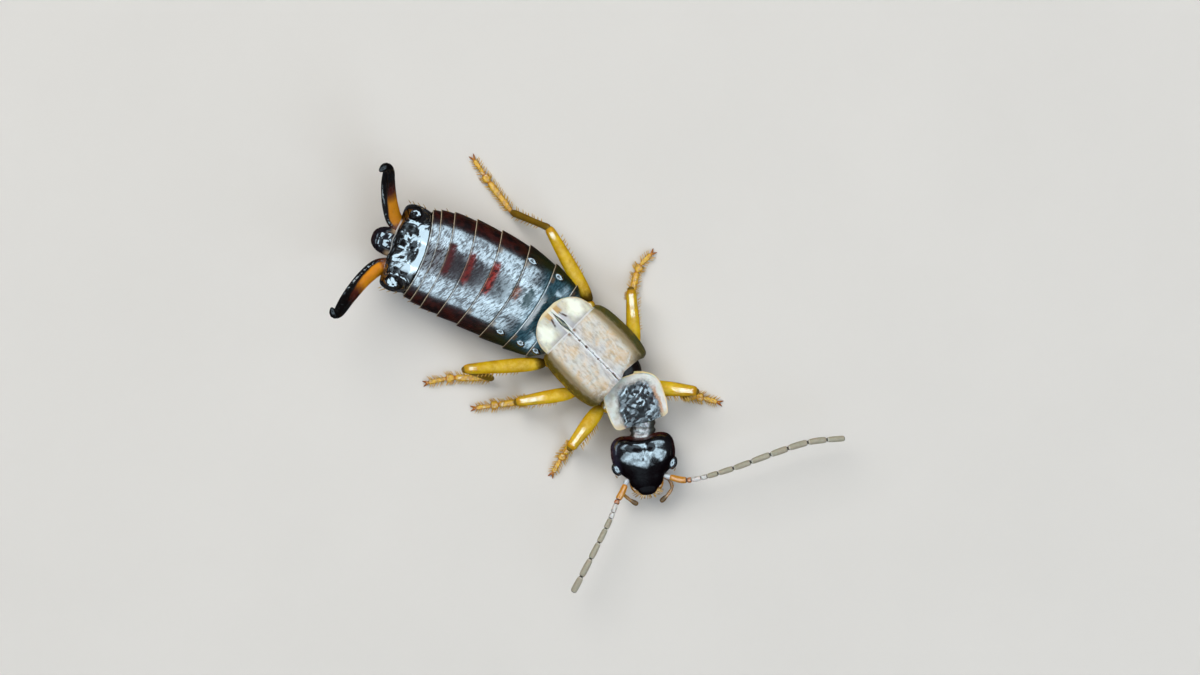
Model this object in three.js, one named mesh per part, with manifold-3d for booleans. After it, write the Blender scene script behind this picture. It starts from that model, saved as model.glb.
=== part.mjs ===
// A male two-spotted earwig at life size, standing on the floor with its body bent to its right.
//
// Millimetres, +Z up, head towards -Y. The animal's left side is at +X. Plan places are measured
// from the middle of the seam between the wing cases, and the whole model is moved at the end so
// that its box stands centred on the origin.

import * as THREE from 'three';
import { LoftGeometry } from 'three/addons/geometries/LoftGeometry.js';
import { mergeVertices } from 'three/addons/utils/BufferGeometryUtils.js';
import Module from 'manifold-3d';

const wasm = await Module();
wasm.setup();

// Driving dimensions

const gap = 0.1; // between one piece and the next
const feeler = 0.25; // radius that the feelers and shins reach, tips aside
const sides = [1, -1]; // left, right

const head = { x: -1.43, y: -3.74, turn: -38, eyeOut: 0.97, eyeAhead: 0.08, eyeLevel: 1.16,
  reach: 0.98, rear: 0.99 };
const shield = { x: -0.19, y: -2.07, turn: -26.6, half: 1.02, front: 0.78, rear: 0.91, level: 1.78 };
const cases = { x: -0.06, front: -1.2, rear: 1.2, half: 1.47, keel: 1.08, top: 2.12, low: 1.24 };
const caseShoulder = 0.16; // how far the outer front corner of a wing case stands forward
const packs = { half: 1.12, rear: 2.24, thick: 0.42, top: 2.1 };
const tail = { x: -0.28, y: 1.887, heading: 99, radius: 16, straightFrom: 4.64 };
const last = { rear: 6.0, half: 1.52, top: 2.16, bottom: 0.5, waist: 1.25 };
const margins = [0, 0.86, 1.8, 2.76, 3.6, 4.32, 4.76, 5.06]; // rear edges of the back plates
const endTurn = 26; // turn of the straight end of the abdomen about the vertical
const seamBow = 0.25; // how far the last seam bows forward in the middle
const plateLip = 0.06; // height of one back plate's rear edge over the next

// Smooth shapes

const v3 = (x, y, z) => new THREE.Vector3(x, y, z);
const clamp = THREE.MathUtils.clamp;
const rad = THREE.MathUtils.degToRad;

// A smooth function through rows of numbers, each row headed by its place along the part.
function through(rows) {
  const slope = (i, k) => {
    const before = rows[Math.max(i - 1, 0)];
    const after = rows[Math.min(i + 1, rows.length - 1)];
    return (after[k] - before[k]) / (after[0] - before[0]);
  };
  return (place) => {
    let i = 0;
    while (i < rows.length - 2 && place > rows[i + 1][0]) i += 1;
    const span = rows[i + 1][0] - rows[i][0];
    const t = clamp((place - rows[i][0]) / span, 0, 1);
    const ease = t * t * (3 - 2 * t);
    return rows[i].slice(1).map((value, k) => {
      const rise = slope(i, k + 1) * span * t * (1 - t) * (1 - t);
      const fall = slope(i + 1, k + 1) * span * t * t * (t - 1);
      return value + (rows[i + 1][k + 1] - value) * ease + rise + fall;
    });
  };
}

const powered = (value, power) => Math.sign(value) * Math.abs(value) ** power;

// An oval cross-section, widest at its waist, counted round from the animal's right over its back.
function oval({ half, top, waist, bottom, square = 2.3, count = 24, inset = 0 }) {
  const points = [];
  for (let i = 0; i < count; i += 1) {
    const angle = (2 * Math.PI * i) / count;
    const across = -powered(Math.cos(angle), 2 / square);
    const up = powered(Math.sin(angle), 2 / square);
    const under = i > count / 2;
    const width = under ? half - inset : half;
    points.push([across * width, waist + up * (up > 0 ? top - waist : waist - bottom)]);
  }
  return points;
}

// A flat cross-section between an upper and a lower curve.
function strip(half, upper, lower, steps) {
  const across = Array.from({ length: steps + 1 }, (_, i) => -half + (2 * half * i) / steps);
  const over = across.map((x) => [x, upper(x)]);
  const under = across.map((x) => [x, lower(x)]);
  return [...over, ...under.reverse()];
}

const closed = { capStart: true, capEnd: true };

// A body between cross-sections; place turns (across, along, up) into a point of the plan.
function body(sections, place) {
  const rings = sections.map(({ along, ring }) =>
    ring.map(([across, up]) => place(across, along, up)));
  return new LoftGeometry(rings, closed);
}

// The places of a part that lies at one spot and is turned about the vertical.
function turned(x, y, degrees) {
  const angle = rad(degrees);
  return (across, along, up) => v3(
    x + across * Math.cos(angle) - along * Math.sin(angle),
    y + across * Math.sin(angle) + along * Math.cos(angle),
    up,
  );
}

// A ring of points about a centre and across a direction.
function ringAbout(centre, direction, wide, high, count) {
  const side = new THREE.Vector3().crossVectors(direction, v3(0, 0, 1)).normalize();
  const rise = new THREE.Vector3().crossVectors(side, direction).normalize();
  return Array.from({ length: count }, (_, i) => {
    const angle = (2 * Math.PI * i) / count;
    return centre.clone()
      .addScaledVector(side, -wide * Math.cos(angle))
      .addScaledVector(rise, high * Math.sin(angle));
  });
}

// A limb joint's length: a straight spindle from one point to another, with rows of
// [share of the length, radius across, radius up].
function spindle(from, to, rows, count = 8) {
  const direction = to.clone().sub(from);
  const rings = rows.map(([share, wide, high = wide]) =>
    ringAbout(from.clone().addScaledVector(direction, share), direction, wide, high, count));
  return new LoftGeometry(rings, closed);
}

// A strand along a curve, with rows of [share of the curve, radius].
function strand(curve, rows, count = 8) {
  const rings = rows.map(([share, radius]) =>
    ringAbout(curve.getPointAt(share), curve.getTangentAt(share), radius, radius, count));
  return new LoftGeometry(rings, closed);
}

function ball(centre, radii, degrees = 0, columns = 10, rows = 7) {
  const turn = new THREE.Quaternion().setFromAxisAngle(v3(0, 0, 1), rad(degrees));
  const matrix = new THREE.Matrix4().compose(centre, turn, v3(...radii));
  return new THREE.SphereGeometry(1, columns, rows).applyMatrix4(matrix);
}

// Joining and cutting

function solid(geometry) {
  const bare = new THREE.BufferGeometry();
  bare.setAttribute('position', geometry.getAttribute('position'));
  bare.setIndex(geometry.index);
  const merged = mergeVertices(bare, 1e-4);
  return new wasm.Manifold(new wasm.Mesh({
    numProp: 3,
    vertProperties: merged.attributes.position.array,
    triVerts: new Uint32Array(merged.index.array),
  }));
}

const joined = (...geometries) => geometries.map(solid).reduce((all, one) => all.add(one));
const cutBy = (piece, ...tools) => tools.reduce((rest, tool) => rest.subtract(tool), piece);

function geometryOf(piece) {
  const whole = piece.decompose().sort((a, b) => b.volume() - a.volume())[0];
  const mesh = whole.getMesh();
  const geometry = new THREE.BufferGeometry();
  geometry.setAttribute('position', new THREE.BufferAttribute(mesh.vertProperties, 3));
  geometry.setIndex(new THREE.BufferAttribute(mesh.triVerts, 1));
  geometry.computeVertexNormals();
  return geometry;
}

const animal = new THREE.Group();

function add(name, piece, finish) {
  const mesh = new THREE.Mesh(geometryOf(piece), new THREE.MeshStandardMaterial(finish));
  mesh.name = name;
  animal.add(mesh);
}

// Finishes

const glossBlack = { color: '#17110f', roughness: 0.2, metalness: 0 };
const eyeGrey = { color: '#5a6a78', roughness: 0.15, metalness: 0 };
const paleSkin = { color: '#a9a294', roughness: 0.6, metalness: 0 };
const shieldCream = { color: '#cfc4a6', roughness: 0.3, metalness: 0 };
const caseTan = { color: '#b39c7c', roughness: 0.4, metalness: 0 };
const packCream = { color: '#d9cca4', roughness: 0.4, metalness: 0 };
const plateBlack = { color: '#221312', roughness: 0.22, metalness: 0 };
const forcepsBrown = { color: '#6b2c10', roughness: 0.2, metalness: 0 };
const legAmber = { color: '#bd8a2c', roughness: 0.35, metalness: 0 };
const feelerGrey = { color: '#8c8468', roughness: 0.5, metalness: 0 };

// Head: a flattened heart, with a socket for each eye, an upper lip and two jaws

const headPlace = turned(head.x, head.y, head.turn);

function headShell(grow) {
  const profile = through([
    [-0.98, 0.20, 1.12, 0.98, 0.86],
    [-0.90, 0.36, 1.18, 0.98, 0.76],
    [-0.70, 0.52, 1.29, 1.00, 0.66],
    [-0.48, 0.63, 1.42, 1.02, 0.58],
    [-0.25, 0.86, 1.54, 1.04, 0.53],
    [0.00, 1.03, 1.61, 1.05, 0.50],
    [0.35, 1.11, 1.64, 1.05, 0.50],
    [0.68, 1.06, 1.58, 1.03, 0.53],
    [0.91, 0.88, 1.44, 1.00, 0.62],
    [0.99, 0.66, 1.28, 1.00, 0.74],
  ]);
  const sections = [];
  const ringCount = 15;
  for (let i = 0; i <= ringCount; i += 1) {
    const along = -head.reach + ((head.reach + head.rear) * i) / ringCount;
    const [half, top, waist, bottom] = profile(along);
    const stretched = along * (1 + grow / 0.95);
    sections.push({
      along: stretched,
      ring: oval({ half: half + grow, top: top + grow, waist, bottom: bottom - grow }),
    });
  }
  // The rear edge is notched in the middle.
  const notched = (across, along, up) => {
    const notch = 0.11 * Math.exp(-((across / 0.4) ** 2)) * clamp((along - 0.3) / 0.6, 0, 1);
    return headPlace(across, along - notch, up);
  };
  return body(sections, notched);
}

function eyeBall(side, grow) {
  const centre = headPlace(side * head.eyeOut, -head.eyeAhead, head.eyeLevel);
  return ball(centre, [0.18 + grow, 0.24 + grow, 0.22 + grow], head.turn, 12, 8);
}

function upperLip() {
  const rows = [
    [-1.10, 0.16],
    [-1.05, 0.26],
    [-0.90, 0.33],
    [-0.70, 0.33],
  ];
  const sections = rows.map(([along, half]) => {
    const fall = 0.2 * (along + 0.7);
    return {
      along,
      ring: strip(half, (x) => 1.2 + fall - 0.5 * x * x, (x) => 1.0 + fall - 0.5 * x * x, 4),
    };
  });
  return body(sections, headPlace);
}

// Each jaw curves from under the cheek towards the middle.
function jaw(side) {
  const curve = new THREE.CatmullRomCurve3([
    headPlace(side * 0.38, -0.6, 0.82),
    headPlace(side * 0.36, -0.85, 0.8),
    headPlace(side * 0.24, -1.02, 0.8),
    headPlace(side * 0.1, -1.1, 0.8),
  ]);
  return strand(curve, [[0, 0.16], [0.4, 0.14], [0.8, 0.09], [1, 0.04]], 6);
}

// The lower lip's short feelers, under the jaws.
function lipFeeler(side) {
  const curve = new THREE.CatmullRomCurve3([
    headPlace(side * 0.16, -0.55, 0.62),
    headPlace(side * 0.24, -0.85, 0.56),
    headPlace(side * 0.22, -1.1, 0.5),
  ]);
  return strand(curve, [[0, 0.1], [0.45, 0.07], [0.55, 0.09], [0.95, 0.08], [1, 0.04]], 6);
}

// The mouth is a slot between the upper lip and the jaws.
function mouthLine() {
  const slot = new THREE.BoxGeometry(1.1, 0.3, 0.05);
  const middle = headPlace(0, -1.08, 0.93);
  return slot.rotateZ(rad(head.turn)).translate(middle.x, middle.y, middle.z);
}

const headBody = cutBy(
  joined(
    headShell(0),
    upperLip(),
    ...sides.map(jaw),
    ...sides.map(lipFeeler),
  ),
  solid(mouthLine()),
  ...sides.map((side) => solid(eyeBall(side, gap))),
);
add('head', headBody, glossBlack);
add('eye_left', solid(eyeBall(1, 0)), eyeGrey);
add('eye_right', solid(eyeBall(-1, 0)), eyeGrey);

// Neck shield and the front of the thorax under it

const shieldPlace = turned(shield.x, shield.y, shield.turn);

function shieldPlate(grow) {
  const profile = through([
    [-shield.front, 0.80, 0],
    [-0.70, 0.94, 0.05],
    [-0.40, 1.00, 0.1],
    [0.10, 1.02, 0.12],
    [0.45, 0.99, 0.11],
    [0.65, 0.86, 0.08],
    [0.80, 0.62, 0.04],
    [shield.rear, 0.26, 0],
  ]);
  const sections = [];
  const ringCount = 11;
  for (let i = 0; i <= ringCount; i += 1) {
    const along = -shield.front + ((shield.front + shield.rear) * i) / ringCount;
    const [half, dome] = profile(along);
    const rim = shield.level - 0.12;
    const upper = (x) => rim + dome * Math.cos(clamp(x / 0.75, -1, 1) * (Math.PI / 2)) + grow;
    const lower = () => shield.level - 0.4 - grow;
    sections.push({
      along: along * (1 + grow / 0.85),
      ring: strip(half + grow, upper, lower, 12),
    });
  }
  return body(sections, shieldPlace);
}

function frontThorax(grow) {
  const top = shield.level - 0.4 - gap;
  const rows = [
    [-0.66, 0.45, 0.15],
    [-0.5, 0.66, 0.04],
    [0, 0.76, 0],
    [0.5, 0.74, 0],
    [0.78, 0.55, 0.08],
  ];
  const sections = rows.map(([along, half, less]) => ({
    along: along * (1 + grow / 0.75),
    ring: oval({
      half: half + grow, top: top - less + grow, waist: 0.95, bottom: 0.5 + less - grow, count: 20,
    }),
  }));
  return body(sections, shieldPlace);
}

add('pronotum', solid(shieldPlate(0)), shieldCream);
add('prothorax', solid(frontThorax(0)), plateBlack);

// Neck: a short tube of skin between the head and the front of the thorax
{
  const behind = headPlace(0, 0.5, 1.02);
  const before = shieldPlace(0, -0.4, 0.98);
  const tube = spindle(behind, before, [[0, 0.46, 0.34], [0.5, 0.44, 0.32], [1, 0.48, 0.34]], 14);
  add('neck', cutBy(solid(tube), solid(headShell(gap)), solid(frontThorax(gap)),
    solid(shieldPlate(gap))), paleSkin);
}

// Middle and rear thorax, under the wing cases

const middlePlace = (across, along, up) => v3(cases.x + across, along, up);

function rearThorax(grow) {
  const rows = [
    [-1.62, 0.62, 1.46],
    [-1.4, 0.85, 1.5],
    [-0.8, 0.98, 1.52],
    [0, 1.02, 1.52],
    [0.7, 0.98, 1.5],
    [1.12, 0.86, 1.45],
  ];
  const sections = rows.map(([along, half, top]) => ({
    along: along + Math.sign(along) * grow,
    ring: oval({
      half: half + grow, top: top + grow, waist: 0.85, bottom: 0.45 - grow, count: 24,
    }),
  }));
  return body(sections, middlePlace);
}

add('thorax', cutBy(solid(rearThorax(0)), solid(frontThorax(gap)), solid(shieldPlate(gap))),
  plateBlack);

// Wing cases: flat on the back, folded down over the flank at a keel

function wingCase(side) {
  const profile = through([
    [cases.front, 1.93, 0.92, 1.10, 1.44],
    [-1.05, 2.01, 1.00, 1.31, 1.34],
    [-0.60, 2.08, 1.06, 1.44, 1.27],
    [0.00, cases.top, cases.keel, cases.half, cases.low],
    [0.70, 2.12, 1.05, 1.43, 1.24],
    [1.05, 2.10, 1.01, 1.34, 1.29],
    [cases.rear, 2.07, 0.96, 1.22, 1.38],
  ]);
  const seam = gap / 2;
  const thick = 0.53; // as a share of the drop from the back to the lower edge
  const sections = [];
  const ringCount = 10;
  const middle = (cases.front + cases.rear) / 2;
  const reach = (cases.rear - cases.front) / 2;
  for (let i = 0; i <= ringCount; i += 1) {
    // The rings stand closer towards both ends, where the outline turns in.
    const along = middle - reach * Math.cos((Math.PI * i) / ringCount);
    const [top, keel, half, low] = profile(along);
    const drop = top - low;
    const under = top - thick * drop;
    const outer = [
      [seam, top],
      [keel * 0.5, top + 0.03],
      [keel * 0.85, top - 0.01],
      [keel + 0.05, top - 0.1 * drop],
      [half - 0.1, top - 0.36 * drop],
      [half, top - 0.7 * drop],
      [half - 0.06, low],
    ];
    const inner = [
      [half - 0.38, low],
      [half - 0.46, low + 0.2 * drop],
      [keel - 0.22, under - 0.06 * drop],
      [keel * 0.5, under],
      [seam, under],
    ];
    const ring = [...outer, ...inner].map(([x, z]) => [side * x, z]);
    sections.push({ along, ring: side > 0 ? ring : ring.reverse() });
  }
  const shouldered = (across, along, up) => {
    const ahead = clamp(along / cases.front, 0, 1) ** 2;
    return middlePlace(across, along - caseShoulder * ahead * (across / cases.half) ** 2, up);
  };
  return body(sections, shouldered);
}

for (const side of sides) {
  add(side > 0 ? 'wing_case_left' : 'wing_case_right',
    cutBy(solid(wingCase(side)), solid(shieldPlate(gap)), solid(rearThorax(gap))), caseTan);
}

// Folded hind wings: the stiff tips that show behind the wing cases

function wingPack(side) {
  const front = cases.rear + gap;
  const rows = [
    [0, 1, 1],
    [0.35, 0.99, 1],
    [0.6, 0.88, 0.95],
    [0.8, 0.7, 0.85],
    [0.94, 0.46, 0.7],
    [1, 0.26, 0.5],
  ];
  const seam = gap / 2;
  const sections = rows.map(([share, wide, thick]) => {
    const half = seam + (packs.half - seam) * wide;
    const middle = (seam + half) / 2;
    const reach = (half - seam) / 2;
    const top = packs.top - 0.06 * share;
    const vein = (x) => 0.03 * Math.exp(-(((x - middle * 1.1) / 0.08) ** 2));
    const round = (x) => 0.08 * ((x - seam) / packs.half) ** 2;
    const ring = strip(
      reach,
      (x) => top + vein(side * x + middle) - round(side * x + middle),
      () => top - packs.thick * thick,
      10,
    );
    return {
      along: front + (packs.rear - front) * share,
      ring: ring.map(([x, z]) => [x + side * middle, z]),
    };
  });
  return body(sections, middlePlace);
}

// Abdomen: back plates that overlap like tiles along a bent axis

// A point of the abdomen: its axis is an arc that ends in a straight line.
function tailPlace(across, along, up) {
  const bent = Math.min(along, tail.straightFrom);
  const start = rad(tail.heading);
  const angle = start + bent / tail.radius;
  const beyond = along - bent;
  const x = tail.x + tail.radius * (Math.sin(angle) - Math.sin(start)) + beyond * Math.cos(angle);
  const y = tail.y - tail.radius * (Math.cos(angle) - Math.cos(start)) + beyond * Math.sin(angle);
  return v3(x + across * Math.sin(angle), y - across * Math.cos(angle), up);
}

const abdomenSize = through([
  [-0.58, 0.95, 1.42, 1.00, 0.62],
  [-0.30, 1.20, 1.50, 1.05, 0.52],
  [0.00, 1.43, 1.54, 1.09, 0.44],
  [0.45, 1.54, 1.62, 1.12, 0.38],
  [0.86, 1.62, 1.84, 1.15, 0.35],
  [1.80, 1.71, 2.07, 1.18, 0.32],
  [2.76, 1.71, 2.17, 1.20, 0.32],
  [3.60, 1.69, 2.20, 1.22, 0.34],
  [4.32, 1.64, 2.19, 1.23, 0.38],
  [4.76, 1.55, 2.16, 1.24, 0.42],
  [5.06, 1.45, 2.13, 1.25, 0.46],
]);

function plateRing(along, lift, grow) {
  const [half, top, waist, bottom] = abdomenSize(along);
  return {
    along,
    ring: oval({
      half: half + lift + grow,
      top: top + lift + grow,
      waist,
      bottom: bottom - lift - grow,
      count: 28,
      inset: plateLip,
    }),
  };
}

// The rear seams bow forward in the middle, the last one most.
function bowed(across, along, up) {
  const share = clamp((along - margins[4]) / (margins[7] - margins[4]), 0, 1);
  const bow = seamBow * share * share * (1 - (across / last.half) ** 2);
  return tailPlace(across, along - bow, up);
}

function abdomen(grow) {
  const sections = [plateRing(-0.58 - grow, 0, grow)];
  const step = 0.03; // length of the slope from one plate's edge down to the next plate
  let start = -0.3;
  for (const margin of margins) {
    sections.push(plateRing(start, 0, grow));
    sections.push(plateRing((start + margin) / 2, plateLip * 0.6, grow));
    sections.push(plateRing(margin, plateLip, grow));
    start = margin + step;
  }
  return body(sections, bowed);
}

// Low swellings at the sides of the third and fourth back plates.
function glands() {
  const out = 1.4;
  return sides.flatMap((side) => [margins[1], margins[2]].map((margin) => {
    const along = margin - 0.27;
    const [half, top, waist] = abdomenSize(along);
    const level = waist + (top - waist) * (1 - (out / half) ** 2.3) ** (1 / 2.3);
    return ball(tailPlace(side * out, along, level), [0.17, 0.15, 0.15], 0, 8, 6);
  }));
}

add('abdomen', joined(abdomen(0), ...glands()), plateBlack);

for (const side of sides) {
  add(side > 0 ? 'wing_pack_left' : 'wing_pack_right',
    cutBy(solid(wingPack(side)), solid(abdomen(gap)), ...glands().map(solid)), packCream);
}

// Last back plate, with a boss over the root of each arm of the forceps

function lastPlate(grow) {
  const profile = through([
    [margins[7] + gap, 1.46, last.top - 0.02, last.bottom - 0.02],
    [5.4, last.half, last.top + 0.02, last.bottom],
    [5.7, last.half, last.top, last.bottom + 0.02],
    [5.9, 1.42, 2.04, 0.6],
    [last.rear, 1.25, 1.86, 0.72],
  ]);
  const sections = [];
  const ringCount = 7;
  const front = margins[7] + gap;
  for (let i = 0; i <= ringCount; i += 1) {
    const along = front + ((last.rear - front) * i) / ringCount;
    const [half, top, bottom] = profile(along);
    const beyond = i === 0 ? -grow : i === ringCount ? grow : 0;
    sections.push({
      along: along + beyond,
      ring: oval({
        half: half + grow, top: top + grow, waist: last.waist, bottom: bottom - grow, count: 28,
      }),
    });
  }
  const bowedFront = (across, along, up) => {
    const share = clamp((last.rear - along) / (last.rear - front), 0, 1);
    return tailPlace(across, along - seamBow * share * (1 - (across / last.half) ** 2), up);
  };
  return body(sections, bowedFront);
}

function lastBosses(grow) {
  const boss = (across, along, level, radii) =>
    ball(tailPlace(across, along, level), radii.map((r) => r + grow), endTurn, 10, 7);
  return sides.flatMap((side) => [
    boss(side * 1.21, 5.84, 1.84, [0.33, 0.27, 0.34]),
    boss(side * 0.5, 5.7, 2.02, [0.34, 0.3, 0.16]),
  ]);
}

add('last_tergite', joined(lastPlate(0), ...lastBosses(0)), glossBlack);

// Tail knob between the arms of the forceps
const knob = (grow) => ball(
  tailPlace(0.04, last.rear + 0.34, 1.35),
  [0.42 + grow, 0.4 + grow, 0.36 + grow],
  endTurn,
  12,
  8,
);
add('pygidium', cutBy(solid(knob(0)), solid(lastPlate(gap))), plateBlack);

// Forceps: wide apart at the root, they rise and spread and hook in at the tip

// The pair leans a little to the right.
function forcepsArm(side) {
  const at = (out, back, level) => {
    const lean = 0.05 + 0.08 * (level - 1.3);
    return tailPlace(side * out - lean, last.rear + back, level);
  };
  const curve = new THREE.CatmullRomCurve3([
    at(0.66, -0.3, 1.3),
    at(0.84, 0.16, 1.42),
    at(1.22, 0.43, 1.8),
    at(1.66, 0.62, 2.4),
    at(2.1, 0.76, 3.05),
    at(2.52, 0.86, 3.68),
    at(2.6, 0.99, 3.96),
    at(2.42, 1.13, 4.1),
  ]);
  const rows = [];
  const ringCount = 16;
  for (let i = 0; i <= ringCount; i += 1) {
    const share = i / ringCount;
    rows.push([share, 0.3 - 0.12 * share - 0.11 * share ** 6]);
  }
  return strand(curve, rows, 10);
}

for (const side of sides) {
  add(side > 0 ? 'forceps_left' : 'forceps_right',
    cutBy(solid(forcepsArm(side)), solid(lastPlate(gap)), ...lastBosses(gap).map(solid),
      solid(knob(gap))),
    forcepsBrown);
}

// Antennae: short beads strung on a gentle curve

const beadLengths = [0.58, 0.14, 0.31, 0.2, 0.36, 0.51, 0.58, 0.65, 0.58, 0.65, 0.61, 0.58];

function antenna(points, beads) {
  const curve = new THREE.CatmullRomCurve3(points);
  const lengths = beadLengths.slice(0, beads);
  const total = lengths.reduce((sum, length) => sum + length, 0);
  const rows = [];
  let before = 0;
  lengths.forEach((length) => {
    const at = (share) => clamp((before + length * share) / total, 0, 1);
    const thin = (share) => 1 - 0.4 * clamp((at(share) - 0.6) / 0.4, 0, 1);
    rows.push([at(0), feeler * 0.72 * thin(0)]);
    rows.push([at(0.3), feeler * 0.94 * thin(0.3)]);
    rows.push([at(0.85), feeler * thin(0.85)]);
    before += length;
  });
  rows.push([1, feeler * 0.35]);
  return strand(curve, rows, 8);
}

const antennae = [
  {
    name: 'antenna_left',
    beads: 12,
    points: [[-1.36, -4.42, 1.1], [-0.93, -5.1, 1.2], [-0.46, -5.47, 1.34], [0.6, -6.04, 1.56],
      [1.83, -6.6, 1.68], [2.99, -7.2, 1.6], [3.94, -7.97, 1.4]],
  },
  {
    name: 'antenna_right',
    beads: 9,
    points: [[-2.1, -3.74, 1.1], [-2.66, -3.93, 1.18], [-3.03, -4.04, 1.26], [-3.68, -4.32, 1.4],
      [-4.6, -4.63, 1.54], [-5.6, -4.95, 1.56], [-6.25, -5.15, 1.5]],
  },
];
for (const { name, beads, points } of antennae) {
  const strung = antenna(points.map((point) => v3(...point)), beads);
  add(name, cutBy(solid(strung), solid(headShell(gap)), solid(eyeBall(1, gap)),
    solid(eyeBall(-1, gap))), feelerGrey);
}

// Jaw feelers, bent round in front of the mouth

function palp(side) {
  const curve = new THREE.CatmullRomCurve3([
    headPlace(side * 0.56, -0.42, 0.54),
    headPlace(side * 0.78, -0.74, 0.6),
    headPlace(side * 0.8, -0.98, 0.64),
    headPlace(side * 0.62, -1.2, 0.68),
    headPlace(side * 0.38, -1.4, 0.7),
  ]);
  const rows = [[0, 0.15], [0.25, 0.16], [0.3, 0.13], [0.5, 0.16], [0.56, 0.13], [0.75, 0.15],
    [0.93, 0.14], [1, 0.07]];
  return strand(curve, rows, 8);
}

for (const side of sides) {
  add(side > 0 ? 'palp_left' : 'palp_right',
    cutBy(solid(palp(side)), solid(headShell(gap))), feelerGrey);
}

// Legs: hip joint, thigh, shin and a three-part foot flat on the floor

const legSizes = {
  front: { thigh: 1.9, shin: 1.2, foot: [0.52, 0.24, 0.5], thick: 0.27 },
  middle: { thigh: 2.15, shin: 1.2, foot: [0.98, 0.26, 0.52], thick: 0.25 },
  hind: { thigh: 3.0, shin: 1.95, foot: [1.3, 0.28, 0.62], thick: 0.26 },
};

// Directions are in degrees from +X, counted towards +Y.
const legs = [
  { pair: 'front', side: 1, root: [0.05, -2.2], hip: [0.38, -1.94], knee: [-50, 1.35],
    shin: 153, foot: -49, toe: -61 },
  { pair: 'front', side: -1, root: [-0.65, -1.75], hip: [-1.16, -1.39], knee: [-172, 1.45],
    shin: 20, foot: -171, toe: -165 },
  { pair: 'middle', side: 1, root: [0.4, -0.65], hip: [1.05, -0.8], knee: [48.6, 1.42],
    shin: -135, foot: 33, toe: 0 },
  { pair: 'middle', side: -1, root: [-0.6, -0.55], hip: [-1.42, -0.42], knee: [144.2, 1.42],
    shin: -39, foot: 143, toe: 143 },
  { pair: 'hind', side: 1, root: [0.45, 0.85], hip: [1.125, 1.43], knee: [74.4, 1.66],
    shin: 111.6, foot: 82, toe: 78 },
  { pair: 'hind', side: -1, root: [-0.65, 0.7], hip: [-1.46, 1.02], knee: [139.2, 1.95],
    shin: -64, foot: 133.8, toe: 148 },
];

const rootLevel = 0.62;
const hipLevel = 0.67;
const ankleLevel = 0.27;
const soleLevel = 0.14;

// A point at a level, reached from another by a limb of known length in a plan direction.
function reach(from, degrees, length, level) {
  const flat = Math.sqrt(length ** 2 - (level - from.z) ** 2);
  return v3(from.x + flat * Math.cos(rad(degrees)), from.y + flat * Math.sin(rad(degrees)), level);
}

function leg({ pair, root, hip, knee, shin, foot, toe }) {
  const size = legSizes[pair];
  const start = v3(...root, rootLevel);
  const hipJoint = v3(...hip, hipLevel);
  const kneeJoint = reach(hipJoint, knee[0], size.thigh, knee[1]);
  const ankle = reach(kneeJoint, shin, size.shin, ankleLevel);
  const pad = reach(ankle, foot, size.foot[0], soleLevel);
  const padEnd = reach(pad, (foot + toe) / 2, size.foot[1], soleLevel);
  const tip = reach(padEnd, toe, size.foot[2], soleLevel - 0.02);
  const claws = [-24, 24].map((spread) =>
    spindle(tip, reach(tip, toe + spread, 0.22, 0.06), [[-0.3, 0.08], [0.4, 0.07], [1, 0.03]], 4));
  return joined(
    spindle(start, hipJoint, [[-0.1, 0.3], [0.5, 0.29], [0.9, 0.25], [1.06, 0.16]]),
    spindle(hipJoint, kneeJoint, [[-0.06, 0.16], [0.04, 0.21], [0.3, size.thick],
      [0.65, size.thick * 0.95], [0.92, 0.23], [1.04, 0.17]]),
    spindle(kneeJoint, ankle, [[-0.1, 0.15], [0.06, 0.23], [0.7, 0.23], [1.04, 0.2], [1.12, 0.12]]),
    spindle(ankle, pad, [[-0.14, 0.13], [0.02, 0.19], [0.85, 0.18], [1.02, 0.14]]),
    spindle(pad, padEnd, [[-0.15, 0.15], [0.2, 0.22, 0.18], [0.8, 0.24, 0.18], [1.1, 0.16]]),
    spindle(padEnd, tip, [[-0.1, 0.15], [0.15, 0.16], [0.8, 0.18], [1.02, 0.1]]),
    ...claws,
  );
}

const underFloor = solid(new THREE.BoxGeometry(40, 40, 2).translate(0, 0, -1));

for (const pose of legs) {
  const name = `leg_${pose.pair}_${pose.side > 0 ? 'left' : 'right'}`;
  add(name, cutBy(
    leg(pose),
    underFloor,
    solid(frontThorax(gap)),
    solid(rearThorax(gap)),
    solid(shieldPlate(gap)),
    solid(abdomen(gap)),
  ), legAmber);
}

// The whole stands on the origin, centred.
const box = new THREE.Box3().setFromObject(animal);
const middle = box.getCenter(new THREE.Vector3());
animal.position.set(-middle.x, -middle.y, -box.min.z);

export default animal;
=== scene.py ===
# %% [markdown]
# # A two-spotted earwig, dressed in Blender
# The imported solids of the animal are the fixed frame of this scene. They have its true size, pose
# and outline, but few faces. Every cell below takes one part of the animal, models it again with
# the curves, edges and hairs of the real one, and gives it a finish made of nodes.

# %% The frame
import math
import random

import bmesh
import bpy
from mathutils import Matrix, Vector


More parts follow.
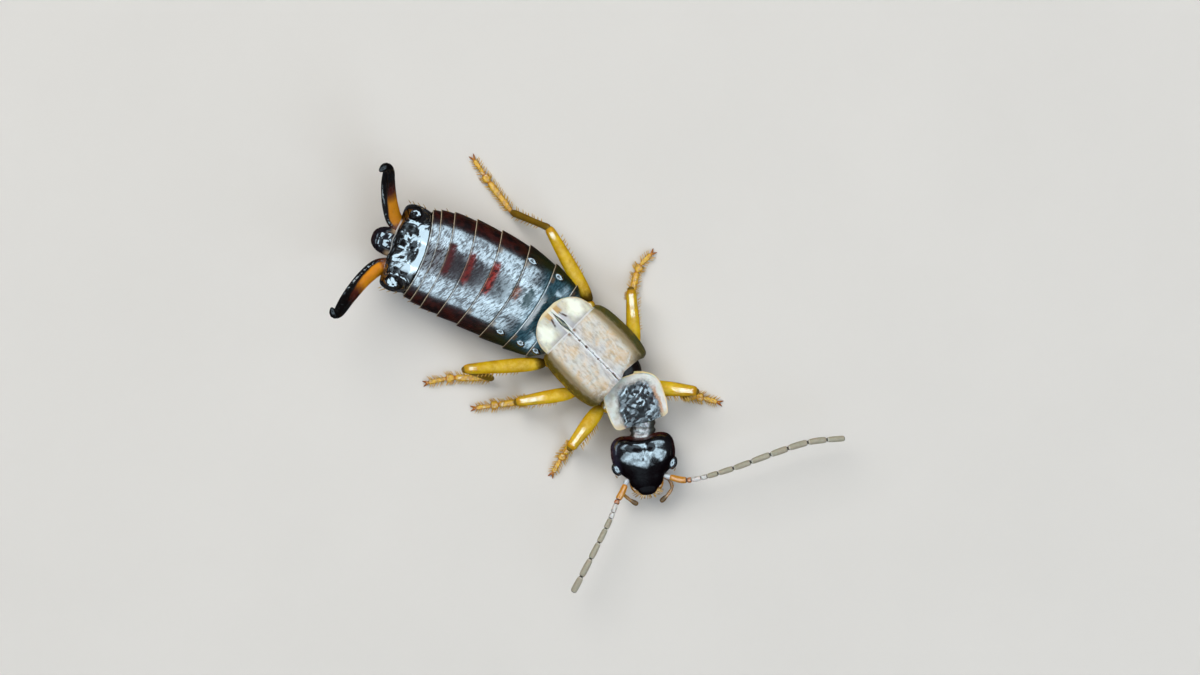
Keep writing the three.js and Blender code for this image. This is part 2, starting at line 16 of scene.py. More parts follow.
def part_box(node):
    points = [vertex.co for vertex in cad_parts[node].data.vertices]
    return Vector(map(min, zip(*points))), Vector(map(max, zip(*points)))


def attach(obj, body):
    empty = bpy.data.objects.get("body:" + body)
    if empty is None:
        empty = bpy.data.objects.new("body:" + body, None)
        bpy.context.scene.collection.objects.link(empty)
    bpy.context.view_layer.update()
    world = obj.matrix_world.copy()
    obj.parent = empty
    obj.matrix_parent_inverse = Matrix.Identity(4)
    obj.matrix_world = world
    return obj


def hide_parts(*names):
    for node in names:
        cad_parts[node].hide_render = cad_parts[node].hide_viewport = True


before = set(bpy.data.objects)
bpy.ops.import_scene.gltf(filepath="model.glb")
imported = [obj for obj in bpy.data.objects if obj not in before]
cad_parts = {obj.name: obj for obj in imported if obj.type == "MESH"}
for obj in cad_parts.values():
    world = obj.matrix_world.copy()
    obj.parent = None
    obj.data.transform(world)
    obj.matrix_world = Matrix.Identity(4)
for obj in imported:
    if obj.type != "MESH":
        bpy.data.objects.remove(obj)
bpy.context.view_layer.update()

# %% [markdown]
# ## One set of places for the whole animal
# An insect is easiest to lay out from a point that can be found again. Here it is the rear end of
# the seam between the wing cases. All sizes are written in millimetres and turned into the metres
# of the frame at the last moment, so that the numbers can be read like those of a drawing.

# %% Places
MM = 0.001
seam_half = 0.05
seam_x = -0.06
case_rear = 1.2
case_low, case_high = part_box("wing_case_left")
home = Vector((case_low.x - (seam_x + seam_half) * MM, case_high.y - case_rear * MM, 0))


def spot(x, y, z):
    """A place of the frame, from millimetres across, along and up from the middle of the seam."""
    return home + Vector((x, y, z)) * MM


print("middle of the seam", [round(v * 1000, 3) for v in home])

# %% [markdown]
# ## Camera
# The animal was seen from straight above, turned by an eighth of a turn in the picture. A long
# lens far away keeps the body parallel, as a macro lens does, and the width of the view is the
# width of the picture in pixels times the size of a pixel on the animal.

# %% Camera
picture_width, picture_height = 1200, 675
pixel = 0.034
seam_pixel = (596, 354)
camera_height = 300

view_right = Vector((1, -1, 0)).normalized()
view_up = Vector((1, 1, 0)).normalized()


def seen_at(column, row, level):
    """The place of the frame that the picture shows at a pixel."""
    right = (column - seam_pixel[0]) * pixel
    up = (seam_pixel[1] - row) * pixel
    return spot(0, 0, level) + (view_right * right + view_up * up) * MM


bpy.ops.object.camera_add(
    location=seen_at(picture_width / 2, picture_height / 2, camera_height),
    rotation=(0, 0, math.radians(-45)),
)
camera = bpy.context.object
camera.name = "camera"
camera.data.lens = camera.data.sensor_width * camera_height / (picture_width * pixel)
camera.data.clip_start = 0.01
camera.data.clip_end = 5
bpy.context.scene.camera = camera
print("lens", round(camera.data.lens), "mm")

# %% [markdown]
# ## Floor and light
# Glossy black cuticle has no colour of its own to show: it is seen by what it mirrors. A ring of
# soft lamps round the camera gives each rounded plate a broad bright band with a darker middle,
# where the plate looks straight up between the lamps. These lamps are there for the gloss alone.
# The pale floor and the dull surfaces are lit by three wide boxes and a dim room. The floor is
# left out of the gloss too, so that the black parts are bright on top and still dark on their
# sides, where only a weak low flash gives them a thin line of light.

# %% Floor and lamps
bpy.ops.mesh.primitive_plane_add(size=1.6, location=(home.x, home.y, -0.000004))
floor = bpy.context.object
floor.name = "floor"
floor.visible_glossy = False

sky_blue = (0.82, 0.91, 1.0)
flash_blue = (0.65, 0.86, 1.0)
warm_white = (1.0, 0.96, 0.90)
lamp_distance = 0.35


def softbox(name, bearing, lean, size, brightness, colour, gloss):
    """A lamp that looks at the animal. Its bearing is counted in the picture, its lean from
    straight up, and its size is the spread round the ring and away from it. It serves either the
    gloss or the dull surfaces."""
    turn = math.radians(bearing)
    flat = view_right * math.cos(turn) + view_up * math.sin(turn)
    round_ring = Vector((0, 0, 1)).cross(flat)
    tip = math.radians(lean)
    direction = flat * math.sin(tip) + Vector((0, 0, math.cos(tip)))
    away = direction.cross(round_ring)
    bpy.ops.object.light_add(type="AREA")
    lamp = bpy.context.object
    lamp.name = name
    lamp.matrix_world = Matrix.Translation(spot(0, 0.5, 1.5) + direction * lamp_distance) @ Matrix(
        (round_ring, away, direction)).transposed().to_4x4()
    lamp.data.shape = "RECTANGLE"
    lamp.data.size, lamp.data.size_y = size
    lamp.data.energy = brightness * math.pi * size[0] * size[1]
    lamp.data.color = colour
    lamp.visible_diffuse = not gloss
    lamp.visible_glossy = gloss
    lamp.visible_camera = False


body_bearing = -29
for number, (turn, spread) in enumerate(((90, 0.4), (180, 0.24), (270, 0.4), (0, 0.24))):
    softbox(f"ring_{number}", body_bearing + turn, 36, (spread, 0.25), 6.0, flash_blue, True)
softbox("side_flash", 165, 80, (0.30, 0.06), 1.6, flash_blue, True)
softbox("wide_box", 125, 38, (0.24, 0.24), 5.0, warm_white, False)
softbox("far_box", -50, 50, (0.22, 0.22), 3.6, sky_blue, False)
softbox("top_box", 30, 8, (0.30, 0.30), 1.3, warm_white, False)

world = bpy.data.worlds.new("room")
bpy.context.scene.world = world
world.use_nodes = True
world.node_tree.nodes["Background"].inputs["Color"].default_value = (0.85, 0.9, 1.0, 1)
world.node_tree.nodes["Background"].inputs["Strength"].default_value = 0.06
bpy.context.scene.view_settings.view_transform = "Standard"

# %% [markdown]
# ## Growing a body ring by ring
# Most of an insect is a chain of closed, more or less oval bodies. Such a body can be grown from a
# disc: the disc is extruded along the body, and each new edge is moved and scaled to the width,
# back and belly that the animal has there. Modelled straight, it can be measured with a ruler. It
# is bent or turned into its pose afterwards.

# %% Helpers for modelling
bpy.context.tool_settings.mesh_select_mode = (True, False, False)


def alone(piece=None):
    """Leaves nothing selected but one piece."""
    bpy.ops.object.select_all(action="DESELECT")
    if piece:
        piece.select_set(True)
        bpy.context.view_layer.objects.active = piece


def choose(piece, wanted):
    """Selects, in edit mode, the points whose place passes a test."""
    shape = bmesh.from_edit_mesh(piece.data)
    for element in (*shape.verts, *shape.edges, *shape.faces):
        element.select = False
    for vertex in shape.verts:
        vertex.select = wanted(vertex.co)
    shape.select_flush(True)
    bmesh.update_edit_mesh(piece.data)


squareness = 2.3


def oval(half, top, waist, bottom, angle, square=squareness):
    """A point of an oval section, its angle counted from the animal's left over its back."""
    cosine, sine = math.cos(angle), math.sin(angle)
    across = math.copysign(abs(cosine) ** (2 / square), cosine)
    up = math.copysign(abs(sine) ** (2 / square), sine)
    return half * across, waist + up * (top - waist if up > 0 else waist - bottom)


def size_edge(piece, old, new):
    """Scales the newest edge of a body from one row of sizes to the next."""
    centre = Vector((0, new[0], new[3])) * MM
    edge = 0.0002 * MM
    bpy.ops.transform.resize(value=(new[1] / old[1], 1, 1), center_override=centre)
    for upper in (True, False):
        rim = 2 if upper else 4
        taller = (new[rim] - new[3]) / (old[rim] - old[3])
        choose(piece, lambda co: abs(co.y - centre.y) < edge and (co.z > centre.z) == upper)
        bpy.ops.transform.resize(value=(1, 1, taller), center_override=centre)
    choose(piece, lambda co: abs(co.y - centre.y) < edge)


def sweep(name, rows, sides=32, square=squareness):
    """Grows a closed body along Y from a disc. A row holds its place along, half width, top,
    waist and bottom, in millimetres."""
    alone()
    bpy.ops.mesh.primitive_circle_add(
        vertices=sides, radius=1, fill_type="NGON", rotation=(math.pi / 2, 0, 0))
    piece = bpy.context.object
    piece.name = name
    bpy.ops.object.transform_apply(location=False, rotation=True, scale=False)
    for vertex in piece.data.vertices:
        angle = math.atan2(vertex.co.z, vertex.co.x)
        vertex.co.x, vertex.co.z = oval(1, 1, 0, -1, angle, square)
    bpy.ops.object.mode_set(mode="EDIT")
    bpy.ops.mesh.select_all(action="SELECT")
    old = (0, 1 / MM, 1 / MM, 0, -1 / MM)
    for number, new in enumerate(rows):
        step = Vector((0, new[0] - old[0], new[3] - old[3])) * MM
        if number:
            bpy.ops.mesh.extrude_region_move(TRANSFORM_OT_translate={"value": step})
        else:
            bpy.ops.transform.translate(value=step)
        size_edge(piece, old, new)
        old = new
    bpy.ops.mesh.select_all(action="SELECT")
    bpy.ops.mesh.normals_make_consistent(inside=False)
    bpy.ops.object.mode_set(mode="OBJECT")
    return piece


def smooth(piece, levels=2):
    """Rounds a piece with an applied subdivision surface."""
    alone(piece)
    if levels:
        rounding = piece.modifiers.new("Rounding", "SUBSURF")
        rounding.levels = rounding.render_levels = levels
        bpy.ops.object.modifier_apply(modifier=rounding.name)
    bpy.ops.object.shade_smooth()
    return piece


def sculpt(piece, move):
    """Moves every point of a piece by a rule on its place in millimetres."""
    for vertex in piece.data.vertices:
        x, y, z = vertex.co / MM
        vertex.co = Vector(move(x, y, z)) * MM
    return piece


def note(piece, name, rule):
    """Writes a number on every point, which a material reads later. The rule is a number or a
    sum on the place of the point."""
    values = [rule(*(v.co / MM)) if callable(rule) else rule for v in piece.data.vertices]
    piece.data.attributes.new(name, "FLOAT", "POINT").data.foreach_set("value", values)
    return piece


def remember(piece):
    """Keeps the places of the straight shape, in millimetres, as the pattern's own space."""
    places = [value / MM for vertex in piece.data.vertices for value in vertex.co]
    piece.data.attributes.new("rest", "FLOAT_VECTOR", "POINT").data.foreach_set("vector", places)
    return piece


def lay(piece, place):
    """Bends or turns a straight piece into its pose. A piece that was moved by small rules before
    has its straight places already."""
    if "rest" not in piece.data.attributes:
        remember(piece)
    for vertex in piece.data.vertices:
        vertex.co = place(*(vertex.co / MM))
    piece.data.update()
    return piece


def join(name, pieces):
    """Makes one object of several."""
    alone(pieces[0])
    for piece in pieces:
        piece.select_set(True)
    if len(pieces) > 1:
        bpy.ops.object.join()
    pieces[0].name = name
    pieces[0].data.name = name
    return pieces[0]


def twin(piece, name):
    """A copy of a piece with a mesh of its own."""
    alone(piece)
    bpy.ops.object.duplicate(linked=False)
    bpy.context.object.name = name
    return bpy.context.object


def put_away(*models):
    """Removes the models that copies were made from."""
    for model in models:
        bpy.data.meshes.remove(model.data)


def turned(x, y, degrees):
    """The places of a part that lies at a spot of the plan, turned about the vertical."""
    cosine, sine = math.cos(math.radians(degrees)), math.sin(math.radians(degrees))
    return lambda across, along, up: spot(
        x + across * cosine - along * sine, y + across * sine + along * cosine, up)


def clamp(value, low=0.0, high=1.0):
    return max(low, min(high, value))


def ease(value, low, high):
    """0 below low, 1 above high and a smooth rise between them."""
    share = clamp((value - low) / (high - low))
    return share * share * (3 - 2 * share)


def hump(distance, width):
    """1 in the middle of a swelling, falling smoothly to 0."""
    return math.exp(-((distance / width) ** 2))


def through(rows):
    """A smooth rule through rows of numbers, each headed by its place."""

    def slope(i, k):
        before, after = rows[max(i - 1, 0)], rows[min(i + 1, len(rows) - 1)]
        return (after[k] - before[k]) / (after[0] - before[0])

    def at(place):
        i = 0
        while i < len(rows) - 2 and place > rows[i + 1][0]:
            i += 1
        span = rows[i + 1][0] - rows[i][0]
        t = clamp((place - rows[i][0]) / span)
        values = []
        for k in range(1, len(rows[0])):
            rise = slope(i, k) * span * t * (1 - t) ** 2
            fall = slope(i + 1, k) * span * t * t * (t - 1)
            values.append(rows[i][k] + (rows[i + 1][k] - rows[i][k]) * ease(t, 0, 1) + rise + fall)
        return values

    return at


def rows_of(profile, start, end, count):
    """Evenly spaced rows of a smooth profile."""
    places = [start + (end - start) * i / count for i in range(count + 1)]
    return [(place, *profile(place)) for place in places]


# %% [markdown]
# ## Writing a finish as sums
# A material is a small calculation that is done for every point of the surface. Drawn as boxes
# and wires it soon fills a wall, so two classes write it as it would be said: a Wire is the value
# on one wire, and adding or multiplying Wires adds the Math nodes. A Finish is a material with
# the few node recipes that the cells share. Its patterns lie in the straight shape of a piece, so
# that they bend with it, or in the frame. Its colour starts with a base, and more is laid over it.

# %% Wires and finishes
class Wire:
    """The value on one wire of a material."""

    def __init__(self, finish, socket):
        self.finish = finish
        self.socket = socket

    def math(self, operation, *others):
        """A Math node with this wire on its first socket."""
        values = dict(enumerate((self, *others)))
        return self.finish.node("ShaderNodeMath", {"operation": operation}, values)

    def __add__(self, other):
        return self.math("ADD", other)

    def __sub__(self, other):
        return self.math("SUBTRACT", other)

    def __rsub__(self, other):
        return self.math("MULTIPLY_ADD", -1, other)

    def __mul__(self, other):
        return self.math("MULTIPLY", other)

    def __truediv__(self, other):
        return self.math("DIVIDE", other)

    def __pow__(self, other):
        return self.math("POWER", other)

    def __abs__(self):
        return self.math("ABSOLUTE")

    __radd__ = __add__
    __rmul__ = __mul__

    def rise(self, low, high):
        """0 below low and 1 above high, smooth between them."""
        inputs = {"Value": self, "From Min": low, "From Max": high}
        return self.finish.node("ShaderNodeMapRange", {"interpolation_type": "SMOOTHSTEP"}, inputs)

    def fall(self, low, high):
        """1 below low and 0 above high."""
        return 1 - self.rise(low, high)


class Finish:
    """A material, the space that its patterns lie in and the recipes that the cells share."""

    def __init__(self, name, space="rest", **constants):
        self.material = bpy.data.materials.new(name)
        self.material.use_nodes = True
        self.tree = self.material.node_tree
        self.shader = self.tree.nodes["Principled BSDF"]
        for socket, value in constants.items():
            self.shader.inputs[socket.replace("_", " ")].default_value = value
        if space == "rest":
            self.space = self.rest()
        else:
            place = self.node("ShaderNodeTexCoord", output="Object")
            self.space = self.stretch(place, (1 / MM, 1 / MM, 1 / MM))

    def node(self, kind, settings=None, inputs=None, output=0):
        """Adds a node: its settings first, then values or wires on its sockets."""
        new = self.tree.nodes.new(kind)
        for key, value in (settings or {}).items():
            setattr(new, key, value)
        for key, value in (inputs or {}).items():
            if isinstance(value, Wire):
                self.tree.links.new(value.socket, new.inputs[key])
            else:
                new.inputs[key].default_value = value
        return Wire(self, new.outputs[output])

    def rest(self):
        """The straight shape's places, which remember wrote on the piece."""
        return self.node("ShaderNodeAttribute", {"attribute_name": "rest"}, output="Vector")

    def axes(self):
        """Millimetres across, along and up in the straight shape of the piece."""
        first = self.node("ShaderNodeSeparateXYZ", inputs={0: self.rest()})
        return [Wire(self, part) for part in first.socket.node.outputs]

    def number(self, name):
        """A number that was written on the points of the piece."""
        return self.node("ShaderNodeAttribute", {"attribute_name": name}, output="Fac")

    def stretch(self, vector, factors):
        settings = {"operation": "MULTIPLY"}
        return self.node("ShaderNodeVectorMath", settings, {0: vector, 1: factors})

    def cloud(self, scale, detail=3.0, roughness=0.55, distortion=0.0, slant=0):
        """Soft noise. Its scale is one number, or one for each direction after a turn by slant."""
        vector = self.space
        if slant:
            inputs = {"Vector": vector, "Angle": math.radians(slant)}
            vector = self.node("ShaderNodeVectorRotate", {"rotation_type": "Z_AXIS"}, inputs)
        if isinstance(scale, tuple):
            vector = self.stretch(vector, scale)
            scale = 1
        return self.node("ShaderNodeTexNoise", inputs={
            "Vector": vector, "Scale": scale, "Detail": detail, "Roughness": roughness,
            "Distortion": distortion})

    def cells(self, scale, feature="F1"):
        inputs = {"Vector": self.space, "Scale": scale}
        return self.node("ShaderNodeTexVoronoi", {"feature": feature}, inputs)

    def off(self, x, y, wide, long):
        """How far a point is from a place, squared, with 1 at the edge of an oval round it."""
        across, along = self.axes()[:2]
        return abs((across - x) / wide) ** 2 + abs((along - y) / long) ** 2

    def mix(self, share, first, second):
        """The first colour where the share is 0 and the second where it is 1."""
        ends = [end if isinstance(end, Wire) else (*end, 1.0) for end in (first, second)]
        inputs = {0: share, 6: ends[0], 7: ends[1]}
        return self.node("ShaderNodeMix", {"data_type": "RGBA"}, inputs, output=2)

    def base(self, share, first, second):
        """Starts the colour of the finish with a mix of two."""
        self.colour = self.mix(share, first, second)

    def over(self, share, colour):
        """Lays one more colour over the finish where the share is 1."""
        self.colour = self.mix(share, self.colour, colour)

    def done(self, height=None, depth=0.0, **values):
        """Wires the shader: the colour, bumps of a depth in millimetres, and what else varies."""
        values["Base_Color"] = self.colour
        if height:
            inputs = {"Height": height, "Distance": depth * MM, "Strength": 1.0}
            values["Normal"] = self.node("ShaderNodeBump", inputs=inputs)
        for socket, value in values.items():
            self.tree.links.new(value.socket, self.shader.inputs[socket.replace("_", " ")])


def dress(piece, slot, finish, *nodes):
    """Gives a finished piece its material and hides the solids that it stands for. The slot is not
    used.
    """
    piece.data.materials.clear()
    piece.data.materials.append(finish.material)
    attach(piece, "root")
    if nodes:
        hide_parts(*nodes)
    piece.data.name = piece.name
    print(piece.name, len(piece.data.polygons), "faces")


floor_finish = Finish("pale_floor", "frame", Roughness=0.9, Specular_IOR_Level=0.1)
floor_finish.base(floor_finish.cloud(0.12, 4), (0.67, 0.665, 0.65), (0.72, 0.715, 0.70))
floor_finish.done()
floor.data.materials.append(floor_finish.material)

# %% [markdown]
# ## Head
# An earwig's head is a flattened heart, hard and shiny as lacquer, notched behind and narrowed in
# front of the eyes. It is grown along its length and then pressed with small rules: the notch, two
# low swellings on the crown, and the fine Y-shaped line where the skull splits at a moult.

# %% Head capsule
head = {"x": -1.43, "y": -3.74, "turn": -38}
head_place = turned(head["x"], head["y"], head["turn"])
eye_out, eye_ahead, eye_level = 0.945, 0.14, 1.14

head_profile = through([
    (-0.98, 0.24, 1.12, 0.98, 0.86),
    (-0.90, 0.41, 1.18, 0.98, 0.76),
    (-0.70, 0.57, 1.29, 1.00, 0.66),
    (-0.48, 0.69, 1.39, 1.02, 0.58),
    (-0.25, 0.90, 1.50, 1.04, 0.53),
    (0.00, 1.05, 1.59, 1.05, 0.50),
    (0.16, 1.08, 1.645, 1.05, 0.50),
    (0.30, 1.10, 1.665, 1.05, 0.50),
    (0.46, 1.09, 1.668, 1.05, 0.51),
    (0.66, 1.07, 1.645, 1.03, 0.54),
    (0.80, 0.99, 1.58, 1.02, 0.57),
    (0.92, 0.87, 1.46, 1.00, 0.62),
    (0.99, 0.66, 1.28, 1.00, 0.74),
])


def crown_line(x, y):
    """The depth of the Y-shaped line on the crown, with a strong stem and faint arms."""
    stem = math.hypot(x - 0.02 - 0.12 * y, max(0.05 - y, 0))
    arm = abs(y - 0.05 + 0.45 * abs(x - 0.02)) + 2 * max(abs(x - 0.02) - 0.34, 0)
    return max(0.014 * hump(stem, 0.05), 0.005 * hump(arm, 0.06))


def head_shape(x, y, z):
    upper = ease(z, 1.15, 1.4)
    groove = crown_line(x, y) * upper
    right_dome = 0.045 * hump(math.hypot(x + 0.34, y - 0.5), 0.3)
    left_dome = 0.035 * hump(math.hypot(x - 0.32, y - 0.48), 0.22)
    brow = 0.02 * hump(math.hypot(abs(x) - 0.42, y + 0.3), 0.24)
    bay = 0.09 * hump(math.hypot(abs(x) - 0.75, y + 0.6), 0.14)
    x -= math.copysign(bay, x)
    notch = 0.12 * hump(x, 0.42) * clamp((y - 0.3) / 0.6)
    return x, y - notch, z - groove + (right_dome + left_dome - brow) * upper


capsule = sweep("head_capsule", rows_of(head_profile, -0.98, 0.99, 20), sides=44)
smooth(capsule, 2)
remember(capsule)
sculpt(capsule, head_shape)
lay(capsule, head_place)

# %% Head finish
lacquer = Finish("lacquer_black", Specular_IOR_Level=0.03, Coat_IOR=2.2, Coat_Roughness=0.13)
across, along, up = lacquer.axes()
grain = lacquer.cloud(2.2, 4)
lacquer.base(grain, (0.0005, 0.0005, 0.001), (0.005, 0.002, 0.003))
# Painted sheen: a dim purple-blue sheen is laid into the colour of the head's right flank.
lacquer.over(across.fall(-0.98, -0.72) * grain, (0.04, 0.036, 0.07))
rear_rim = along.rise(0.8, 1.0) * (0.4 + 0.9 * grain)
side_rim = abs(across).rise(0.96, 1.12) * 0.35 * up.rise(0.9, 1.2)
lacquer.over(rear_rim + side_rim, (0.09, 0.012, 0.004))
bloom = lacquer.cloud(5, 5, 0.65)
stem = abs(across - 0.02 - 0.12 * along).fall(0.0, 0.08) * along.rise(-0.08, 0.1)
apex = along - 0.36 * abs(across - 0.06) + (bloom - 0.5) * 0.12
shine = up.rise(1.24, 1.42) * (0.01 + 0.99 * apex.rise(-0.26, -0.14))
right_dip = (lacquer.off(-0.32, 0.53, 0.27, 0.15) + bloom).fall(1.4, 1.9)
left_dip = (lacquer.off(0.28, 0.5, 0.15, 0.17) + bloom).fall(1.4, 1.9)
shine = shine * (1 - 0.88 * (right_dip + left_dip) * (1 - stem))
pores = lacquer.cells(12).fall(0.02, 0.09)
lacquer.done(
    lacquer.cloud(2.4, 5, 0.6, 0.6) - pores * 0.2 - stem * 0.8, 0.03,
    Roughness=0.2 + 0.15 * lacquer.cloud(6, 3),
    Coat_Weight=shine * (0.3 + 0.6 * bloom.rise(0.35, 0.6) + 0.4 * stem))
dress(capsule, "gloss_black", lacquer, "head")

# %% [markdown]
# ## Eyes
# A compound eye is a low dome of hundreds of six-sided lenses. At this size the lenses are only
# felt in the gloss, so the dome is real and the lenses are a fine relief in its finish. The dome
# follows the cheek, so its front end is turned inwards.

# %% Eyes
eye_finish = Finish("eye_lenses", Specular_IOR_Level=0.2, Roughness=0.25, Coat_Weight=0.75,
                    Coat_IOR=2.2, Coat_Roughness=0.24)
facets = eye_finish.cells(30, "DISTANCE_TO_EDGE")
eye_finish.base(facets.rise(0.0, 0.1), (0.003, 0.003, 0.004), (0.01, 0.012, 0.018))
eye_finish.done(facets.rise(0.0, 0.14), 0.0015)
sides = ((1, "left"), (-1, "right"))
eye_turn = math.radians(24)
eye_size = (0.165, 0.235, 0.2)

for side, name in sides:
    alone()
    bpy.ops.mesh.primitive_uv_sphere_add(segments=48, ring_count=28, radius=MM)
    eye = bpy.context.object
    eye.name = f"{name}_eye"
    bpy.ops.transform.resize(value=eye_size)
    bpy.ops.transform.rotate(value=side * eye_turn, orient_axis="Z", center_override=(0, 0, 0))
    bpy.ops.object.transform_apply(location=False, rotation=True, scale=True)
    smooth(eye, 0)
    lay(eye, lambda x, y, z: head_place(side * eye_out + x, y - eye_ahead, z + eye_level))
    dress(eye, "eye", eye_finish, f"eye_{name}")

# %% [markdown]
# ## Limbs along a path
# Feelers, mouth parts and the forceps are straight bodies too, only laid along a bent path. A path
# here is a smooth line through a few given points. It hands out the place at a distance along it,
# and the two directions across it.

# %% Paths
def path_through(points, steps=24):
    """A smooth line through points of the plan, and its length in millimetres."""
    corners = [Vector(point) for point in points]
    corners = [2 * corners[0] - corners[1], *corners, 2 * corners[-1] - corners[-2]]
    line = []
    for a, b, c, d in zip(corners, corners[1:], corners[2:], corners[3:]):
        for i in range(steps):
            t = i / steps
            line.append(0.5 * (2 * b + (c - a) * t + (2 * a - 5 * b + 4 * c - d) * t ** 2
                               + (3 * b - a - 3 * c + d) * t ** 3))
    line.append(corners[-2])
    lengths = [0.0]
    for a, b in zip(line, line[1:]):
        lengths.append(lengths[-1] + (b - a).length)

    def place(across, along, up):
        i = 0
        while i < len(lengths) - 2 and lengths[i + 1] < along:
            i += 1
        ahead = (line[i + 1] - line[i]).normalized()
        side = ahead.cross(Vector((0, 0, 1))).normalized()
        centre = line[i] + ahead * (along - lengths[i])
        return spot(*(centre + side * across + side.cross(ahead) * up))

    return place, lengths[-1]


def rod(name, shares, flat=1.0, sides=16, levels=1):
    """A straight rod of length 1, from pairs of a share of its length and a radius."""
    rows = [(share, wide, wide * flat, 0, -wide * flat) for share, wide in shares]
    return smooth(sweep(name, rows, sides=sides, square=2), levels)


def thread(model, path, start, length, wide=1.0, **numbers):
    """A copy of a rod, stretched to a length and laid along a path."""
    made = twin(model, model.name)
    note(made, "share", lambda x, y, z: y)
    for key, value in numbers.items():
        note(made, key, value)
    sculpt(made, lambda x, y, z: (x * wide, start + y * length, z * wide))
    return lay(made, path)


def plan(place):
    """A place of the frame as millimetres of the plan."""
    return (place - home) / MM


# %% [markdown]
# ## Bristles
# Legs, lip and tail carry stiff golden bristles. One thin bent cone is modelled, and its copies
# are set on the skin, each leaning a little towards the tip of the limb. A number on each part
# tells its kind, because a leg and its bristles become one piece with one finish.

# %% Bristle model
bristle = rod("bristle", [(0, 0.019), (0.35, 0.017), (0.7, 0.012), (1, 0.004)], sides=5, levels=0)
chance = random.Random(11)
thigh_kind, shin_kind, foot_kind, claw_kind, hair_kind = range(5)


def set_bristle(root, direction, length, bend=0.12):
    """Plants one bristle at a point of the plan."""
    ahead = Vector(direction).normalized()
    side = ahead.cross(Vector((0, 0, 1)))
    side = side.normalized() if side.length > 0.01 else Vector((1, 0, 0))
    rise = side.cross(ahead)
    hair = twin(bristle, "hair")
    note(hair, "share", lambda x, y, z: y)
    note(hair, "kind", hair_kind)
    return lay(hair, lambda x, y, z: spot(*(Vector(root) + ahead * y * length + side * x
                                            + rise * (z + bend * length * y * y))))


def hair_between(root, tip, length, bend=0.12):
    """A bristle at one place of the frame, pointing to another."""
    return set_bristle(plan(root), plan(tip) - plan(root), length, bend)


hair_finish = Finish("golden_bristle", "frame", Roughness=0.3, Coat_Weight=0.4)
grain = hair_finish.cloud(8, 2)
hair_finish.base(hair_finish.number("share"), (0.46, 0.25, 0.03), (0.66, 0.42, 0.09))
hair_finish.over(grain.rise(0.4, 0.6), (0.26, 0.14, 0.02))
hair_finish.done(grain, 0.002)

# %% [markdown]
# ## Mouth
# From above only a few parts of the mouth reach past the head: the upper lip, the root of a jaw
# beside it, and the two jaw feelers, which bend round in front. The lip is nearly black and wears
# a fringe of bristles, the jaws are amber, and the jaw feelers darken to olive at their ends.

# %% Mouth parts
amber = Finish("amber_mouth", "frame", Specular_IOR_Level=0.15, Coat_IOR=1.9, Coat_Roughness=0.1,
               Subsurface_Weight=0.15, Subsurface_Scale=0.0002)
grain = amber.cloud(5, 4)
dark = amber.number("dark")
amber.base(grain, (0.56, 0.27, 0.02), (0.3, 0.12, 0.01))
amber.over(dark, (0.05, 0.03, 0.004))
amber.done(grain, 0.01, Roughness=0.2 + 0.18 * grain, Coat_Weight=0.5 - 0.5 * dark)

lip_rows = [
    (-1.13, 0.1, 1.06, 1.04, 1), (-1.1, 0.2, 1.1, 1.05, 0.98), (-1.03, 0.29, 1.15, 1.06, 0.96),
    (-0.9, 0.35, 1.2, 1.06, 0.96), (-0.76, 0.38, 1.24, 1.06, 0.96),
    (-0.62, 0.36, 1.26, 1.06, 0.96)]
upper_lip = smooth(sweep("upper_lip", lip_rows, sides=28, square=2.2), 2)
lay(upper_lip, head_place)
dress(upper_lip, "gloss_black", lacquer)


def head_path(side, points):
    """A path from places out, ahead and up on one side of the head."""
    places = [head_place(side * out, ahead, level) for out, ahead, level in points]
    return path_through([plan(place) for place in places])


mouth = []
jaw = rod("jaw", [(0, 0.13), (0.2, 0.15), (0.45, 0.14), (0.7, 0.1), (0.85, 0.07), (0.95, 0.04),
                  (1, 0.02)], 0.8, 12)
lip_feeler = rod("lip_feeler", [(0, 0.05), (0.3, 0.07), (0.46, 0.075), (0.5, 0.045), (0.54, 0.06),
                                (0.75, 0.08), (0.92, 0.07), (1, 0.03)], 1, 12)
for side in (1, -1):
    path, length = head_path(side, (
        (0.46, -0.5, 0.86), (0.42, -0.82, 0.84), (0.28, -1.0, 0.82), (0.08, -1.09, 0.82)))
    mouth.append(thread(jaw, path, 0, length, dark=0))
    path, length = head_path(side, ((0.16, -0.55, 0.64), (0.24, -0.85, 0.58), (0.22, -1.12, 0.52)))
    mouth.append(thread(lip_feeler, path, 0, length, dark=0.2))
put_away(jaw, lip_feeler)
dress(join("mouth_parts", mouth), "palp", amber)

# %% Lip fringe
fringe = []
fringe_count = 30
for number in range(fringe_count):
    at = -1 + 2 * (number + 0.5) / fringe_count
    turn = math.radians(78 * at + chance.uniform(-7, 7))
    root = head_place(0.33 * math.sin(turn), -0.93 - 0.17 * math.cos(turn), 1.05)
    tip = head_place(0.6 * math.sin(turn * 1.1), -0.93 - 0.42 * math.cos(turn), 0.98)
    length = 0.17 + 0.1 * abs(at) + chance.uniform(-0.03, 0.03)
    fringe.append(hair_between(root, tip, length, -0.1))
for side in (1, -1):
    for out, ahead in ((0.62, 0.86), (0.8, 0.75), (0.97, -0.42)):
        root = head_place(side * out, ahead, 1.1)
        tip = head_place(side * (out + 0.2), ahead + 0.3, 1.5)
        fringe.append(hair_between(root, tip, 0.2))
dress(join("lip_fringe", fringe), "palp", hair_finish)

# %% Jaw feelers
palp_model = rod("palp", [
    (0, 0.07), (0.1, 0.08), (0.24, 0.085), (0.28, 0.05), (0.31, 0.055), (0.48, 0.075),
    (0.53, 0.045), (0.56, 0.05), (0.7, 0.07), (0.74, 0.045), (0.78, 0.065), (0.9, 0.095),
    (0.97, 0.085), (1, 0.04)], 1, 14)


